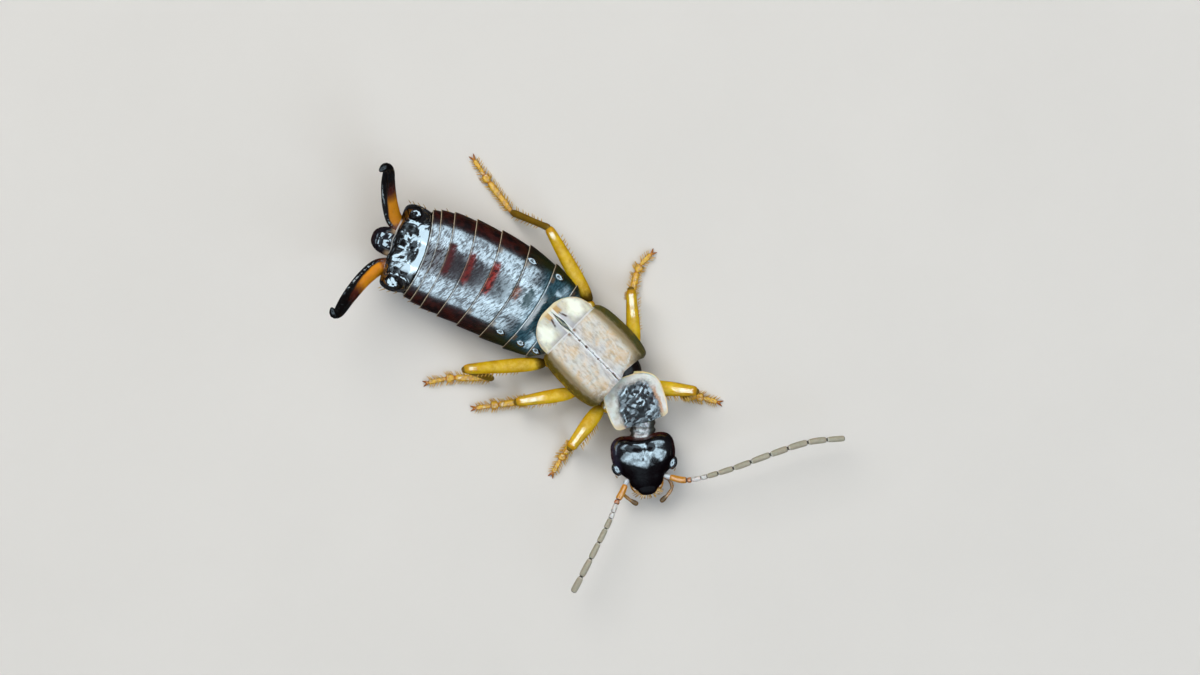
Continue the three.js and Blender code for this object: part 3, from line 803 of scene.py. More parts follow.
def palp_dark(x, share, z):
    """Dark rings at the joints of a jaw feeler, and a dark end."""
    rings = 0.5 * hump(share - 0.29, 0.03) + 0.5 * hump(share - 0.54, 0.03)
    return clamp(0.25 + rings + 0.6 * ease(share, 0.76, 0.84))


for side, name in sides:
    path, length = head_path(side, (
        (0.5, -0.42, 0.6), (0.78, -0.74, 0.6), (0.83, -0.98, 0.64), (0.66, -1.2, 0.68),
        (0.38, -1.42, 0.7)))
    palp = thread(palp_model, path, 0, length, dark=palp_dark)
    palp.name = f"{name}_palp"
    dress(palp, "palp", amber, f"palp_{name}")
put_away(palp_model)

# %% [markdown]
# ## Feelers
# A feeler is a string of beads. It starts in a soft socket, painted blue-white as a highlight. The
# first bead is long and amber, the next few are short, and the rest are dull grey-brown rods that
# swell a little towards the tip, with a dark joint between them. One bead is modelled and its
# copies are threaded on a path. Each copy carries its number, and the socket counts as bead -1.

# %% Feelers
bead_lengths = [0.58, 0.14, 0.31, 0.2, 0.36, 0.51, 0.58, 0.65, 0.58, 0.65, 0.61, 0.58]
bead_widths = [0.118, 0.098, 0.094, 0.098, 0.1, 0.104, 0.108, 0.114, 0.118, 0.118, 0.114, 0.106]

feeler = Finish("feeler_beads", "frame", Specular_IOR_Level=0.15, Subsurface_Weight=0.15,
                Subsurface_Scale=0.0002, Coat_IOR=2.0, Coat_Roughness=0.05, Sheen_Weight=0.15,
                Sheen_Roughness=0.5)
share = feeler.number("share")
bead = feeler.number("bead")
grain = feeler.cloud(9, 4)
feeler.base(grain, (0.26, 0.24, 0.17), (0.44, 0.42, 0.33))
first_tone = feeler.mix(grain.rise(0.3, 0.6), (0.36, 0.33, 0.31), (0.62, 0.6, 0.58))
feeler.over(bead.fall(3.3, 3.7), feeler.mix(bead.fall(1.4, 1.6), first_tone, (0.4, 0.15, 0.03)))
feeler.over(share.rise(0.94, 0.97) + share.fall(0.02, 0.05), (0.012, 0.008, 0.006))
feeler.over(share.rise(0.05, 0.07) * share.fall(0.09, 0.13) * 0.5, (0.62, 0.62, 0.56))
scape_tone = feeler.mix(grain, (0.74, 0.34, 0.006), (0.42, 0.15, 0.004))
scape_tone = feeler.mix(share.rise(0.9, 0.98), scape_tone, (0.1, 0.03, 0.008))
feeler.over(bead.fall(0.4, 0.6), scape_tone)
# Painted highlight: the socket, bead -1, is coloured pale blue-white.
feeler.over(bead.fall(-0.6, -0.4), (0.5, 0.54, 0.58))
small_beads = bead.rise(0.4, 0.6) * bead.fall(3.3, 3.7)
feeler.done(feeler.cells(40), 0.004, Roughness=0.35 + 0.25 * grain,
            Coat_Weight=0.3 * bead.fall(0.4, 0.6) + 0.3 * small_beads)

bead_model = rod("bead", [(-0.02, 0.4), (0.02, 0.52), (0.05, 0.74), (0.12, 0.9), (0.35, 0.97),
                          (0.6, 1.0), (0.88, 0.98), (0.95, 0.84), (0.98, 0.6), (1, 0.4)], 1, 14)
antennae = {
    "left": (1, 12, [(-0.93, -5.1, 1.2), (-0.46, -5.47, 1.34), (0.6, -6.04, 1.56),
                     (1.83, -6.6, 1.68), (2.99, -7.2, 1.6), (3.94, -7.97, 1.4)]),
    "right": (-1, 9, [(-2.66, -3.93, 1.18), (-3.03, -4.04, 1.26), (-3.68, -4.32, 1.4),
                      (-4.6, -4.63, 1.54), (-5.6, -4.95, 1.56), (-6.25, -5.15, 1.5)]),
}
socket_end = 0.14
for name, (side, count, points) in antennae.items():
    root = plan(head_place(side * 0.66, -0.55, 1.08))
    path, length = path_through([root, *points])
    scale = (length - socket_end) / sum(bead_lengths[:count])
    beads = [thread(bead_model, path, -0.06, 0.24, 0.095, bead=-1)]
    start = socket_end
    for number in range(count):
        long, wide = bead_lengths[number] * scale, bead_widths[number]
        beads.append(thread(bead_model, path, start, long, wide, bead=number))
        start += long
    dress(join(f"{name}_feeler", beads), "feeler", feeler, f"antenna_{name}")
put_away(bead_model)

# %% [markdown]
# ## Neck
# The head hangs on a short tube of soft skin, greyish and folded in rings, which lets it turn.

# %% Neck
shield = {"x": -0.19, "y": -2.07, "turn": -26.6}
shield_place = turned(shield["x"], shield["y"], shield["turn"])

neck_path, length = path_through([
    plan(head_place(0, 0.42, 1.04)), plan(shield_place(0, -0.75, 1.04)),
    plan(shield_place(0, -0.35, 1.0))])
neck_steps, neck_folds = 30, 6
fold_shares = []
for at in (i / neck_steps for i in range(neck_steps + 1)):
    wave = 0.035 * math.cos(at * neck_folds * 2 * math.pi) - 0.05 * math.sin(math.pi * at)
    fold_shares.append((at, 0.47 + wave))
neck_model = rod("neck", fold_shares, 0.72, 36)
neck = thread(neck_model, neck_path, 0, length)
put_away(neck_model)
neck.name = "neck_folds"

# %% Neck finish
neck_finish = Finish("neck_skin", Roughness=0.45, Subsurface_Weight=0.2, Subsurface_Scale=0.0003,
                     Coat_Weight=0.3, Coat_Roughness=0.2)
across = neck_finish.axes()[0]
grain = neck_finish.cloud(6, 4)
neck_finish.base(grain.rise(0.35, 0.6), (0.74, 0.77, 0.8), (0.16, 0.16, 0.16))
# Painted shade and highlight: both sides of the neck are darkened, which leaves the pale bluish
# grey of the middle as a painted highlight.
painted_side_shade = (abs(across + 0.04) + (grain - 0.5) * 0.3).rise(0.12, 0.3)
neck_finish.over(painted_side_shade, (0.025, 0.022, 0.012))
neck_finish.done(neck_finish.cloud((3, 14, 3), 4), 0.03, Roughness=0.32 + 0.3 * grain)
dress(neck, "neck_skin", neck_finish, "neck")

# %% [markdown]
# ## Neck shield
# The shield is a thin plate, nearly square, with rims as clear as horn and a raised black middle
# that is creased like leather. A grid is cut to the outline, raised in the middle and given its
# thickness. Real creases are pressed in with a displacement, so that the lamps break up on them.

# %% Shield plate
shield_front, shield_rear, shield_level, shield_thick = -0.78, 0.91, 1.78, 0.07
shield_outline = through([
    (-0.78, 0.78), (-0.70, 0.92), (-0.40, 1.00), (0.10, 1.02), (0.45, 0.99), (0.65, 0.88),
    (0.80, 0.64), (0.87, 0.44), (0.91, 0.28)])


def sheet(name, columns, rows, surface, thick, mirrored=False):
    """A smooth sheet of a thickness, from a grid whose points are moved onto a surface. The
    surface is given by two shares from 0 to 1, and the thickness lies on its inner side."""
    alone()
    bpy.ops.mesh.primitive_grid_add(x_subdivisions=columns, y_subdivisions=rows, size=2)
    piece = bpy.context.object
    piece.name = name
    for vertex in piece.data.vertices:
        vertex.co = Vector(surface((vertex.co.x + 1) / 2, (vertex.co.y + 1) / 2)) * MM
    if mirrored:
        bpy.ops.object.mode_set(mode="EDIT")
        bpy.ops.mesh.select_all(action="SELECT")
        bpy.ops.mesh.flip_normals()
        bpy.ops.object.mode_set(mode="OBJECT")
    wall = piece.modifiers.new("Wall", "SOLIDIFY")
    wall.thickness = thick * MM
    wall.offset = -1
    bpy.ops.object.modifier_apply(modifier=wall.name)
    return smooth(piece, 1)


def crease(piece, name, size, strength, where, depth):
    """Presses soft clouds into the part of a piece that a rule marks."""
    group = piece.vertex_groups.new(name=name)
    for vertex in piece.data.vertices:
        weight = where(*(vertex.co / MM))
        if weight > 0:
            group.add([vertex.index], weight, "REPLACE")
    texture = bpy.data.textures.new(name, "CLOUDS")
    texture.noise_scale = size * MM
    texture.noise_depth = depth
    alone(piece)
    pressing = piece.modifiers.new(name, "DISPLACE")
    pressing.texture = texture
    pressing.texture_coords = "LOCAL"
    pressing.strength = strength * MM
    pressing.mid_level = 0.5
    pressing.vertex_group = name
    bpy.ops.object.modifier_apply(modifier=pressing.name)
    return piece


def black_area(x, y):
    """1 in the creased black middle of the shield, 0 on its rims."""
    bound = abs((x - 0.06) / 0.72) ** 3 + (max(y + 0.15, 0) / 0.82) ** 3
    return 1 - ease(bound, 0.15, 1.1)


def shield_surface(u, v):
    v = 0.5 - 0.5 * math.cos(math.pi * v)
    y = shield_front + (shield_rear - shield_front) * v
    half, = shield_outline(y)
    x = half * math.sin(math.pi * (u - 0.5))
    lip = 0.05 * ease(abs(x) / half, 0.85, 1.0) * ease(y, -0.7, -0.3)
    front_fall = 0.04 * ease(-y, 0.6, 0.78)
    return x, y, shield_level - 0.11 + 0.08 * black_area(x, y) + lip - front_fall


plate = sheet("shield_plate", 48, 42, shield_surface, shield_thick)
remember(plate)
note(plate, "edge", lambda x, y, z: max(
    abs(x) / shield_outline(clamp(y, shield_front, shield_rear))[0], y / shield_rear))
crease(plate, "shield_creases", 0.3, 0.09, lambda x, y, z: black_area(x, y), 1)
lay(plate, shield_place)

# %% Shield finish
shell = Finish("shield_horn", Specular_IOR_Level=0.12, Coat_IOR=2.3, Coat_Roughness=0.12,
               Subsurface_Weight=0.2, Subsurface_Scale=0.0003)
across, along = shell.axes()[:2]
wobble = shell.cloud(3.2, 4) - 0.5
fine = shell.cloud(14, 4)
behind_front = (along + 0.15).math("MAXIMUM", 0)
bound = abs((across - 0.06 + wobble * 0.25) / 0.68) ** 3
bound = bound + (behind_front / 0.78 + wobble * 0.15) ** 3
dark = (bound + (fine - 0.5) * 0.6).fall(0.6, 1.1)
smoke = (bound + (fine - 0.5) * 1.2).fall(0.8, 1.6) * 0.7
shell.base(wobble.rise(-0.15, 0.2), (0.64, 0.68, 0.67), (0.46, 0.46, 0.41))
shell.over(across.rise(0.3, 0.8) * 0.5, (0.78, 0.83, 0.83))
shell.over(smoke, (0.17, 0.16, 0.16))
orange = abs(across - 0.74 + wobble * 0.3).fall(0.02, 0.12) * abs(along + 0.2).fall(0.3, 0.62)
shell.over(orange * 0.75, (0.48, 0.2, 0.045))
corner = along.fall(-0.72, -0.5) * abs(across).rise(0.5, 0.7)
shell.over(corner * 0.7, (0.62, 0.46, 0.22))
shell.over(shell.number("edge").rise(0.94, 0.975), (0.74, 0.62, 0.36))
shell.over(dark, shell.mix(fine, (0.003, 0.003, 0.004), (0.014, 0.014, 0.016)))
streaks = shell.cloud((2.0, 6.5, 3), 3, 0.55, 0.5, slant=-35)
middle = abs(across).fall(0.15, 0.6) * abs(along).fall(0.3, 0.75)
lit = (streaks * 0.8 + fine * 0.2).rise(0.45, 0.55)
lit = lit * (0.3 + 0.7 * shell.cloud(1.6, 1).rise(0.4, 0.55))
shell.done(
    streaks * (0.1 + dark * (0.4 + 0.4 * middle)) + fine * 0.04, 0.05,
    Roughness=0.34 - 0.12 * dark + 0.14 * fine,
    Coat_Weight=0.05 + dark * lit * (0.5 + 0.5 * middle))
dress(plate, "shield", shell, "pronotum")

# %% [markdown]
# ## Thorax
# Under the shield and the wing cases lies the trunk that carries the legs. Little of it shows from
# above, but from the side it closes the body between neck and belly. Shallow ring grooves part it
# into its three lengths.

# %% Trunk
front_rows = [(y, half, top, 0.95, bottom) for y, half, top, bottom in (
    (-0.66, 0.45, 1.13, 0.65), (-0.6, 0.55, 1.18, 0.6), (-0.5, 0.66, 1.24, 0.54),
    (-0.2, 0.73, 1.28, 0.5), (0.2, 0.76, 1.28, 0.5), (0.5, 0.74, 1.28, 0.5),
    (0.7, 0.64, 1.24, 0.54), (0.8, 0.5, 1.18, 0.62))]
front_trunk = smooth(sweep("front_trunk", front_rows, sides=32), 2)
lay(front_trunk, shield_place)


def from_seam(across, along, up):
    """A place of the frame, measured across from the seam itself."""
    return spot(seam_x + across, along, up)


rear_rows = [(y, half, top, 0.85, 0.45) for y, half, top in (
    (-1.62, 0.62, 1.46), (-1.5, 0.76, 1.52), (-1.3, 0.9, 1.56), (-0.9, 0.98, 1.55),
    (-0.5, 1.0, 1.52), (-0.44, 0.95, 1.5), (-0.38, 1.0, 1.52), (0.1, 1.02, 1.52),
    (0.5, 1.0, 1.51), (0.9, 0.94, 1.48), (1.1, 0.86, 1.44), (1.2, 0.7, 1.38))]
rear_trunk = smooth(sweep("rear_trunk", rear_rows, sides=36), 2)
lay(rear_trunk, from_seam)

cuticle = Finish("dark_cuticle", "frame", Specular_IOR_Level=0.1, Coat_Weight=0.1,
                 Coat_Roughness=0.15)
grain = cuticle.cloud(3, 4)
cuticle.base(grain, (0.004, 0.004, 0.005), (0.026, 0.012, 0.008))
cuticle.done(cuticle.cells(14).rise(0.0, 0.5), 0.012, Roughness=0.2 + 0.2 * grain)
dress(join("trunk", [front_trunk, rear_trunk]), "plates", cuticle, "prothorax", "thorax")

# %% [markdown]
# ## Wing cases
# The short leathery wing cases lie flat on the back, meet in a straight seam, and fold down over
# the flank at a keel. Each is one sheet, from the seam over the keel to its lower edge. The sheet
# is laid on a surface whose width and height follow the animal, then thickened.

# %% Wing case surface
case_front = -1.2
seam_gap = 0.001
case_profile = through([
    (case_front, 1.93, 0.92, 1.10, 1.44),
    (-1.05, 2.01, 1.00, 1.31, 1.34),
    (-0.60, 2.08, 1.06, 1.44, 1.27),
    (0.00, 2.12, 1.08, 1.47, 1.24),
    (0.70, 2.12, 1.05, 1.43, 1.24),
    (1.05, 2.10, 1.01, 1.34, 1.29),
    (case_rear, 2.07, 0.96, 1.22, 1.38),
])


def case_surface(side):
    """The surface of the wing case on one side, from the seam to its lower edge."""

    def surface(u, v):
        y = (case_front + case_rear) / 2 - (case_rear - case_front) / 2 * math.cos(math.pi * v)
        top, keel, half, low = case_profile(y)
        drop = top - low
        section = through([
            (0.0, seam_gap, top + 0.012), (0.04, 0.035, top + 0.018), (0.12, 0.14, top + 0.004),
            (0.3, keel * 0.5, top + 0.03), (0.5, keel * 0.85, top + 0.01),
            (0.58, keel - 0.02, top - 0.01), (0.62, keel + 0.04, top - 0.06 * drop),
            (0.7, keel + 0.14, top - 0.22 * drop), (0.82, half - 0.03, top - 0.5 * drop),
            (0.92, half, top - 0.75 * drop), (1.0, half - 0.06, low)])
        x, z = section(u)
        dent = 0.025 * math.sin(4.5 * y + 2 * side) * hump(x - 0.5, 0.35)
        rounded = 0.1 * clamp(1 - x / 0.2) ** 2 * ease(y, 0.8, case_rear)
        shoulder = 0.16 * (x / 1.47) ** 2
        if side > 0:
            shoulder -= 0.11 * ease(x, 0.05, 0.35) * (1 - ease(x, 0.9, 1.3))
        shoulder *= clamp(-y / 1.2) ** 2
        return side * x, y - rounded - shoulder, z - dent - 0.05 * ease(y, 1.05, case_rear)

    return surface


# %% Wing case finish
leather = Finish("wing_case_silk", Specular_IOR_Level=0.12, Coat_Roughness=0.25,
                 Subsurface_Weight=0.12, Subsurface_Scale=0.0003)
across, along, up = leather.axes()
out = abs(across)
blotches = leather.cloud(2.4, 5, 0.66, 0.6)
fibres = leather.cloud((12, 4, 8), 4, 0.6)
leather.base(blotches.rise(0.36, 0.66), (0.6, 0.6, 0.57), (0.68, 0.54, 0.37))
leather.over((out + (blotches - 0.5) * 0.7).fall(0.12, 0.5) * 0.7, (0.5, 0.51, 0.54))
leather.over(fibres.rise(0.46, 0.62) * 0.5, (0.78, 0.77, 0.74))
leather.over(fibres.fall(0.36, 0.48) * 0.4, (0.3, 0.25, 0.18))
rust = (blotches - along * 0.12).rise(0.52, 0.66) * out.rise(0.2, 0.5)
leather.over(rust * 0.3, (0.58, 0.36, 0.13))
near_keel = (out - (up - 1.98) * 0.6 + (fibres - 0.5) * 0.3).rise(0.78, 1.0)
leather.over(near_keel * 0.85, (0.27, 0.2, 0.08))
low = (up + (fibres - 0.5) * 0.6).fall(1.55, 1.8)
flank = leather.mix(low, (0.12, 0.082, 0.002), (0.4, 0.26, 0.012))
flank = leather.mix(blotches.fall(0.38, 0.5) * 0.6, flank, (0.06, 0.042, 0.004))
# Painted shade: the left flank of the cases is darkened green-black, most towards the front.
painted_flank_shade = 0.3 + 0.6 * blotches.rise(0.4, 0.56) + along.fall(-0.9, -0.2) * 0.3
flank = leather.mix(across.rise(0.6, 1.0) * painted_flank_shade, flank, (0.055, 0.06, 0.016))
flank_side = (up + (fibres - 0.5) * 0.2).fall(1.84, 1.99) * out.rise(0.86, 1.02)
leather.over(flank_side, flank)
shoulder = along.fall(-1.15, -0.65) * out.rise(0.4, 0.9) * blotches.rise(0.38, 0.55)
leather.over(shoulder * 0.8, (0.09, 0.075, 0.04))
inner_corner = along.rise(0.98, 1.1) * out.fall(0.1, 0.22) * out.rise(0.03, 0.06)
leather.over(inner_corner * 0.85, (0.2, 0.1, 0.02))
leather.over(along.rise(1.13, 1.16) * (1 - flank_side) * 0.8, (0.74, 0.76, 0.8))
leather.over(out.fall(0.05, 0.1) * (0.6 + 0.4 * fibres.rise(0.35, 0.6)), (0.82, 0.84, 0.88))
specks = leather.cloud(9, 2).rise(0.56, 0.6) + along.fall(-1.0, -0.75) * fibres.rise(0.4, 0.5)
leather.over(specks * out.fall(0.03, 0.05) * 0.9, (0.1, 0.045, 0.02))
pits = leather.cells(13).rise(0.0, 0.35)
leather.done(fibres * 0.4 + pits * 0.2, 0.05, Roughness=0.34 + 0.24 * fibres,
             Coat_Weight=0.25 * fibres.rise(0.45, 0.65) * (1 - flank_side))

# %% Two wing cases
case_thick = 0.06
for side, name in sides:
    case = sheet(f"{name}_wing_case", 40, 32, case_surface(side), case_thick, side < 0)
    lay(case, from_seam)
    dress(case, "wing_case", leather, f"wing_case_{name}")

# %% [markdown]
# ## Folded wings
# The hind wings are folded like a parachute under the cases, and only their stiff tips show, pale
# as ivory with a brown mark at the end. Between them a narrow wedge opens on the dark back.

# %% Folded wing tips
pack_front, pack_rear, pack_half, pack_top = case_rear - 0.14, 2.24, 1.12, 2.1
pack_thick = 0.05
pack_outline = through([
    (0.0, 1.0), (0.2, 1.0), (0.35, 0.99), (0.6, 0.9), (0.8, 0.72), (0.94, 0.47), (1.0, 0.25)])


def pack_surface(side):
    """The surface of the wing tip on one side, from the wedge to its outer edge."""

    def surface(u, v):
        share = math.sin(v * math.pi / 2)
        y = pack_front + (pack_rear - pack_front) * share
        wide, = pack_outline(share)
        wedge = 0.01 + 0.075 * hump(share - 0.42, 0.26)
        x = wedge + (pack_half * wide - wedge) * u
        vein = 0.03 * hump(x - 0.5 - 0.1 * share, 0.07)
        fall = 0.1 * (x / pack_half) ** 2 + 0.05 * share + 0.05 * ease(share, 0.85, 1)
        curl = 0.05 * ease(u, 0.9, 1) - 0.02 * (1 - ease(u, 0.0, 0.06))
        return side * x, y, pack_top - 0.07 - fall - curl + vein

    return surface


# %% Wing tip finish
ivory = Finish("wing_tip_ivory", Specular_IOR_Level=0.25, Coat_Weight=0.12, Coat_Roughness=0.2,
               Subsurface_Weight=0.15, Subsurface_Scale=0.0003)
across, along = ivory.axes()[:2]
out = abs(across)
cloudy = ivory.cloud(2.4, 4, 0.55, 0.5)
folds = ivory.cloud((9, 3, 4), 4, 0.6)
ivory.base(cloudy.rise(0.35, 0.65), (0.7, 0.66, 0.48), (0.56, 0.56, 0.5))
ivory.over(folds.rise(0.45, 0.7) * 0.6, (0.36, 0.33, 0.27))
# Painted highlight: a large, nearly white patch on the middle of each wing tip.
centre = abs(out - 0.68 + (cloudy - 0.5) * 0.4) + abs(along - 1.65) * 0.6
ivory.over(centre.fall(0.15, 0.42), (0.94, 0.94, 0.82))
lilac = (out + (cloudy - 0.5) * 0.4).fall(0.16, 0.42) * along.fall(1.85, 2.05)
ivory.over(lilac * 0.75, (0.44, 0.47, 0.55))
base_shade = (along + (cloudy - 0.5) * 0.25).fall(1.22, 1.42) * out.fall(0.75, 0.95)
ivory.over(base_shade * 0.6, (0.3, 0.28, 0.3))
mark = along.rise(1.8, 1.92) * (out + (folds - 0.5) * 0.3).fall(0.24, 0.36)
ivory.over(mark * 0.9, (0.5, 0.28, 0.05))
teeth = abs(out + (along - 1.75) * 0.3 - 0.22).fall(0.02, 0.05) * along.rise(1.55, 1.65)
ivory.over(teeth * along.fall(1.86, 1.95) * folds.rise(0.38, 0.5), (0.05, 0.02, 0.01))
ivory.over(out.fall(0.09, 0.12) * 0.8, (0.86, 0.88, 0.86))
ivory.over(ivory.number("rim").rise(0.93, 0.97) * 0.8, (0.72, 0.62, 0.36))
ivory.done(folds, 0.035, Roughness=0.25 + 0.25 * cloudy)


def pack_rim(x, y, z):
    """How near a point of a wing tip is to its outer edge, which is at 1."""
    share = clamp((y - pack_front) / (pack_rear - pack_front))
    return max(abs(x) / (pack_half * pack_outline(share)[0]), share ** 0.5)


for side, name in sides:
    pack = sheet(f"{name}_wing_tip", 28, 22, pack_surface(side), pack_thick, side < 0)
    note(pack, "rim", pack_rim)
    lay(pack, from_seam)
    dress(pack, "wing_pack", ivory, f"wing_pack_{name}")

# %% Skin between the wing tips
fold_rows = [(y, half, 1.98, 1.97, 1.94) for y, half in (
    (1.1, 0.045), (1.2, 0.05), (1.45, 0.05), (1.7, 0.035), (1.9, 0.02), (2.02, 0.008))]
fold = smooth(sweep("folded_skin", fold_rows, sides=12, square=2), 1)
lay(fold, lambda x, y, z: from_seam(x, y, z - 0.06 * ease(y, 1.1, 2.0)))
skin = Finish("folded_skin", Coat_Weight=0.2)
ribs = skin.cloud((30, 4, 10), 3)
skin.base(ribs.rise(0.45, 0.6), (0.02, 0.02, 0.012), (0.34, 0.35, 0.2))
skin.done(ribs, 0.02, Roughness=0.3 + 0.3 * ribs)
dress(fold, "wing_pack", skin)

# %% [markdown]
# ## Abdomen
# The abdomen is a telescope: each back plate slides over the next, and the belly plates do the
# same below. Every plate is a sheet laid round the straight body, a little higher at its rear
# edge than the one it covers. The whole row is then bent to the animal's right, and the rear edges
# bow forward in the middle.

# %% Abdomen places
margins = [0, 0.86, 1.8, 2.76, 3.6, 4.32, 4.76, 5.06]
tail = {"x": -0.28, "y": 1.887, "heading": 99, "radius": 16, "straight_from": 4.64}
seam_bow = 0.25
last_half = 1.52


def tail_place(across, along, up):
    """A place of the abdomen: its axis is an arc that ends in a straight line."""
    bent = min(along, tail["straight_from"])
    start = math.radians(tail["heading"])
    angle = start + bent / tail["radius"]
    beyond = along - bent
    x = tail["x"] + tail["radius"] * (math.sin(angle) - math.sin(start)) + beyond * math.cos(angle)
    y = tail["y"] - tail["radius"] * (math.cos(angle) - math.cos(start)) + beyond * math.sin(angle)
    return spot(x + across * math.sin(angle), y - across * math.cos(angle), up)


def bowed_place(across, along, up):
    """The same, with the rear edges of the plates bowed forward in the middle."""
    bow = seam_bow * (0.8 * ease(along, -0.3, 1.2) + 0.2 * ease(along, 4.3, margins[-1]))
    return tail_place(across, along - bow * (1 - (across / last_half) ** 2), up)


abdomen_size = through([
    (-0.58, 0.95, 1.42, 1.00, 0.62),
    (-0.30, 1.20, 1.50, 1.05, 0.52),
    (0.00, 1.43, 1.54, 1.09, 0.44),
    (0.45, 1.54, 1.62, 1.12, 0.38),
    (0.86, 1.62, 1.84, 1.15, 0.35),
    (1.80, 1.71, 2.07, 1.18, 0.32),
    (2.76, 1.71, 2.17, 1.20, 0.32),
    (3.60, 1.69, 2.20, 1.22, 0.34),
    (4.32, 1.64, 2.19, 1.23, 0.38),
    (4.76, 1.55, 2.16, 1.24, 0.42),
    (5.06, 1.45, 2.13, 1.25, 0.46),
])

# %% Abdomen plates
plate_overlap, plate_thick, plate_sink = 0.2, 0.035, 0.03


def ring_plates(kind, from_angle, to_angle, lift, past, columns, rows):
    """Sheets round the body between two angles, each higher at its rear edge."""
    made = []
    start = -0.5
    for number, margin in enumerate(margins):
        front, rear = start - plate_overlap, margin + past

        def surface(u, v):
            half, top, waist, bottom = abdomen_size(front + (rear - front) * v)
            angle = math.radians(from_angle + (to_angle - from_angle) * u)
            rise = (lift + plate_sink) * v ** 1.4 - plate_sink + 0.012 * math.sin(math.pi * v)
            x, z = oval(half + rise, top + rise, waist, bottom - rise, angle)
            return x, front + (rear - front) * v, z

        plate = sheet(f"{kind}_plate_{number}", columns, rows, surface, plate_thick)
        note(plate, "behind", lambda x, y, z: rear - y)
        made.append(lay(plate, bowed_place))
        start = margin
    return made


back_plates = ring_plates("back", -18, 198, lift=0.06, past=0, columns=60, rows=12)
belly_plates = ring_plates("belly", 190, 350, lift=0.02, past=0.06, columns=40, rows=6)
core_rows = [(y, half - 0.07, top - 0.07, waist, bottom + 0.07)
             for y, half, top, waist, bottom in rows_of(abdomen_size, -0.56, 5.04, 14)]
core = smooth(sweep("abdomen_core", core_rows, sides=36), 1)
note(core, "behind", 1.0)
lay(core, bowed_place)
print(len(back_plates), "back plates", len(belly_plates), "belly plates")

# %% [markdown]
# The plates are black, blue in front, and wrinkled in fine slanted strokes, which spread each lamp
# into a silky band; along these bands and on the rear plates a bluish-white sheen is painted into
# the colour as well, and a painted pale band of sheen lies along the rear edge of the blue front
# plate.
# A teal patch lies behind the blue. The flanks are dull, green-black in front and rusty behind. In
# front of the rear edge of the middle plates the skin shows through as a red patch, and each rear
# edge ends in a thin pale line with a painted shadow line just in front of it.

# %% Colours of the plates
plates = Finish("abdomen_plates", Specular_IOR_Level=0.08, Coat_IOR=2.1, Coat_Roughness=0.17)
across, along, up = plates.axes()
out = abs(across)
behind = plates.number("behind")
grain = plates.cloud(4, 4)
wrinkles = plates.cloud((5, 18, 6), 5, 0.72, slant=25)
bands = plates.cloud((3.6, 3, 4), 3, 0.5, 0.5)
silk = plates.cloud((5.5, 18, 11), 3, 0.62, 0.3, slant=25)
plates.base(grain, (0.003, 0.003, 0.004), (0.014, 0.011, 0.013))
blue = plates.mix(silk.rise(0.4, 0.6), (0.006, 0.04, 0.062), (0.035, 0.12, 0.165))
plates.over(along.fall(0.8, 1.3) * 0.9, blue)
plates.over(along.rise(2.0, 2.8) * grain * 0.6, (0.035, 0.01, 0.014))
rusty = plates.mix(grain.rise(0.35, 0.65), (0.045, 0.006, 0.003), (0.006, 0.002, 0.002))
on_flank = (out + (grain - 0.5) * 0.2).rise(1.15, 1.45)
plates.over(on_flank, plates.mix(along.rise(0.9, 2.4), (0.008, 0.014, 0.004), rusty))
# Painted sheen: a bluish-white is laid into the colour along the bands where the lamps are
# mirrored, and on the middle of the rear plates.
painted_sheen = (out + (bands - 0.5) * 0.5).rise(0.15, 0.5) * out.fall(0.95, 1.25)
painted_sheen = painted_sheen * silk.rise(0.42, 0.6) * along.rise(0.7, 1.3)
painted_rear_sheen = along.rise(4.1, 4.4) * out.fall(0.5, 0.9) * silk.rise(0.4, 0.56)
plates.over(painted_sheen * 0.3 + painted_rear_sheen * 0.4, (0.42, 0.5, 0.58))
teal = (plates.off(0.19, 1.22, 0.45, 0.22) + silk * 2).fall(1.3, 2.0) * 0.8
plates.over(teal, (0.005, 0.03, 0.034))
# Painted sheen: a pale blue-white band next to the rear edge of the blue front plate.
painted_sheen_band = (behind + (silk - 0.5) * 0.3).fall(0.16, 0.28) * along.fall(0.85, 0.88)
painted_sheen_band = painted_sheen_band * abs(across + 0.1).fall(0.4, 0.8) * along.rise(0.3, 0.4)
plates.over(painted_sheen_band * 0.85, (0.6, 0.68, 0.74))

# %% Red patches and rear edges
ragged = (silk - 0.5) * 0.4 + (grain - 0.5) * 0.35
front_part = along.fall(2.2, 2.5)
patch_width = (abs(across - 0.15 + ragged) + front_part * 0.3).fall(0.44, 0.68)
patch_length = (behind + ragged * 0.7 + along.rise(4.3, 4.5) * 0.1).fall(0.18, 0.36)
strong = along.rise(2.2, 2.5) * along.fall(4.45, 4.7)
faint = along.rise(1.3, 1.6) * silk.rise(0.36, 0.48) * front_part
patch = patch_width * patch_length * (strong + faint)
red = plates.mix(along.rise(2.6, 4.2), (0.27, 0.01, 0.0005), (0.07, 0.002, 0.002))
red = plates.mix(front_part, red, (0.19, 0.055, 0.02))
red = plates.mix(silk.rise(0.38, 0.54), (0.03, 0.001, 0.001), red)
red = plates.mix(behind.rise(0.2, 0.36) * 0.7, red, (0.03, 0.002, 0.002))
plates.over(patch * up.rise(1.3, 1.6), red)
rusty_corner = abs(out - 1.16).fall(0.05, 0.14) * behind.fall(0.12, 0.22)
rusty_corner = rusty_corner * along.fall(2.7, 2.9) * silk.rise(0.36, 0.5) * 0.7
plates.over(rusty_corner, (0.16, 0.08, 0.016))
# Painted shadow: a dark line just in front of the pale rear edge of each plate.
painted_rim_shadow = behind.rise(0.035, 0.05) * behind.fall(0.07, 0.1) * 0.6
plates.over(painted_rim_shadow, (0.035, 0.018, 0.012))
plates.over(behind.fall(0.018, 0.04) * (0.4 + 0.6 * out.rise(0.9, 1.3)), (0.5, 0.42, 0.3))

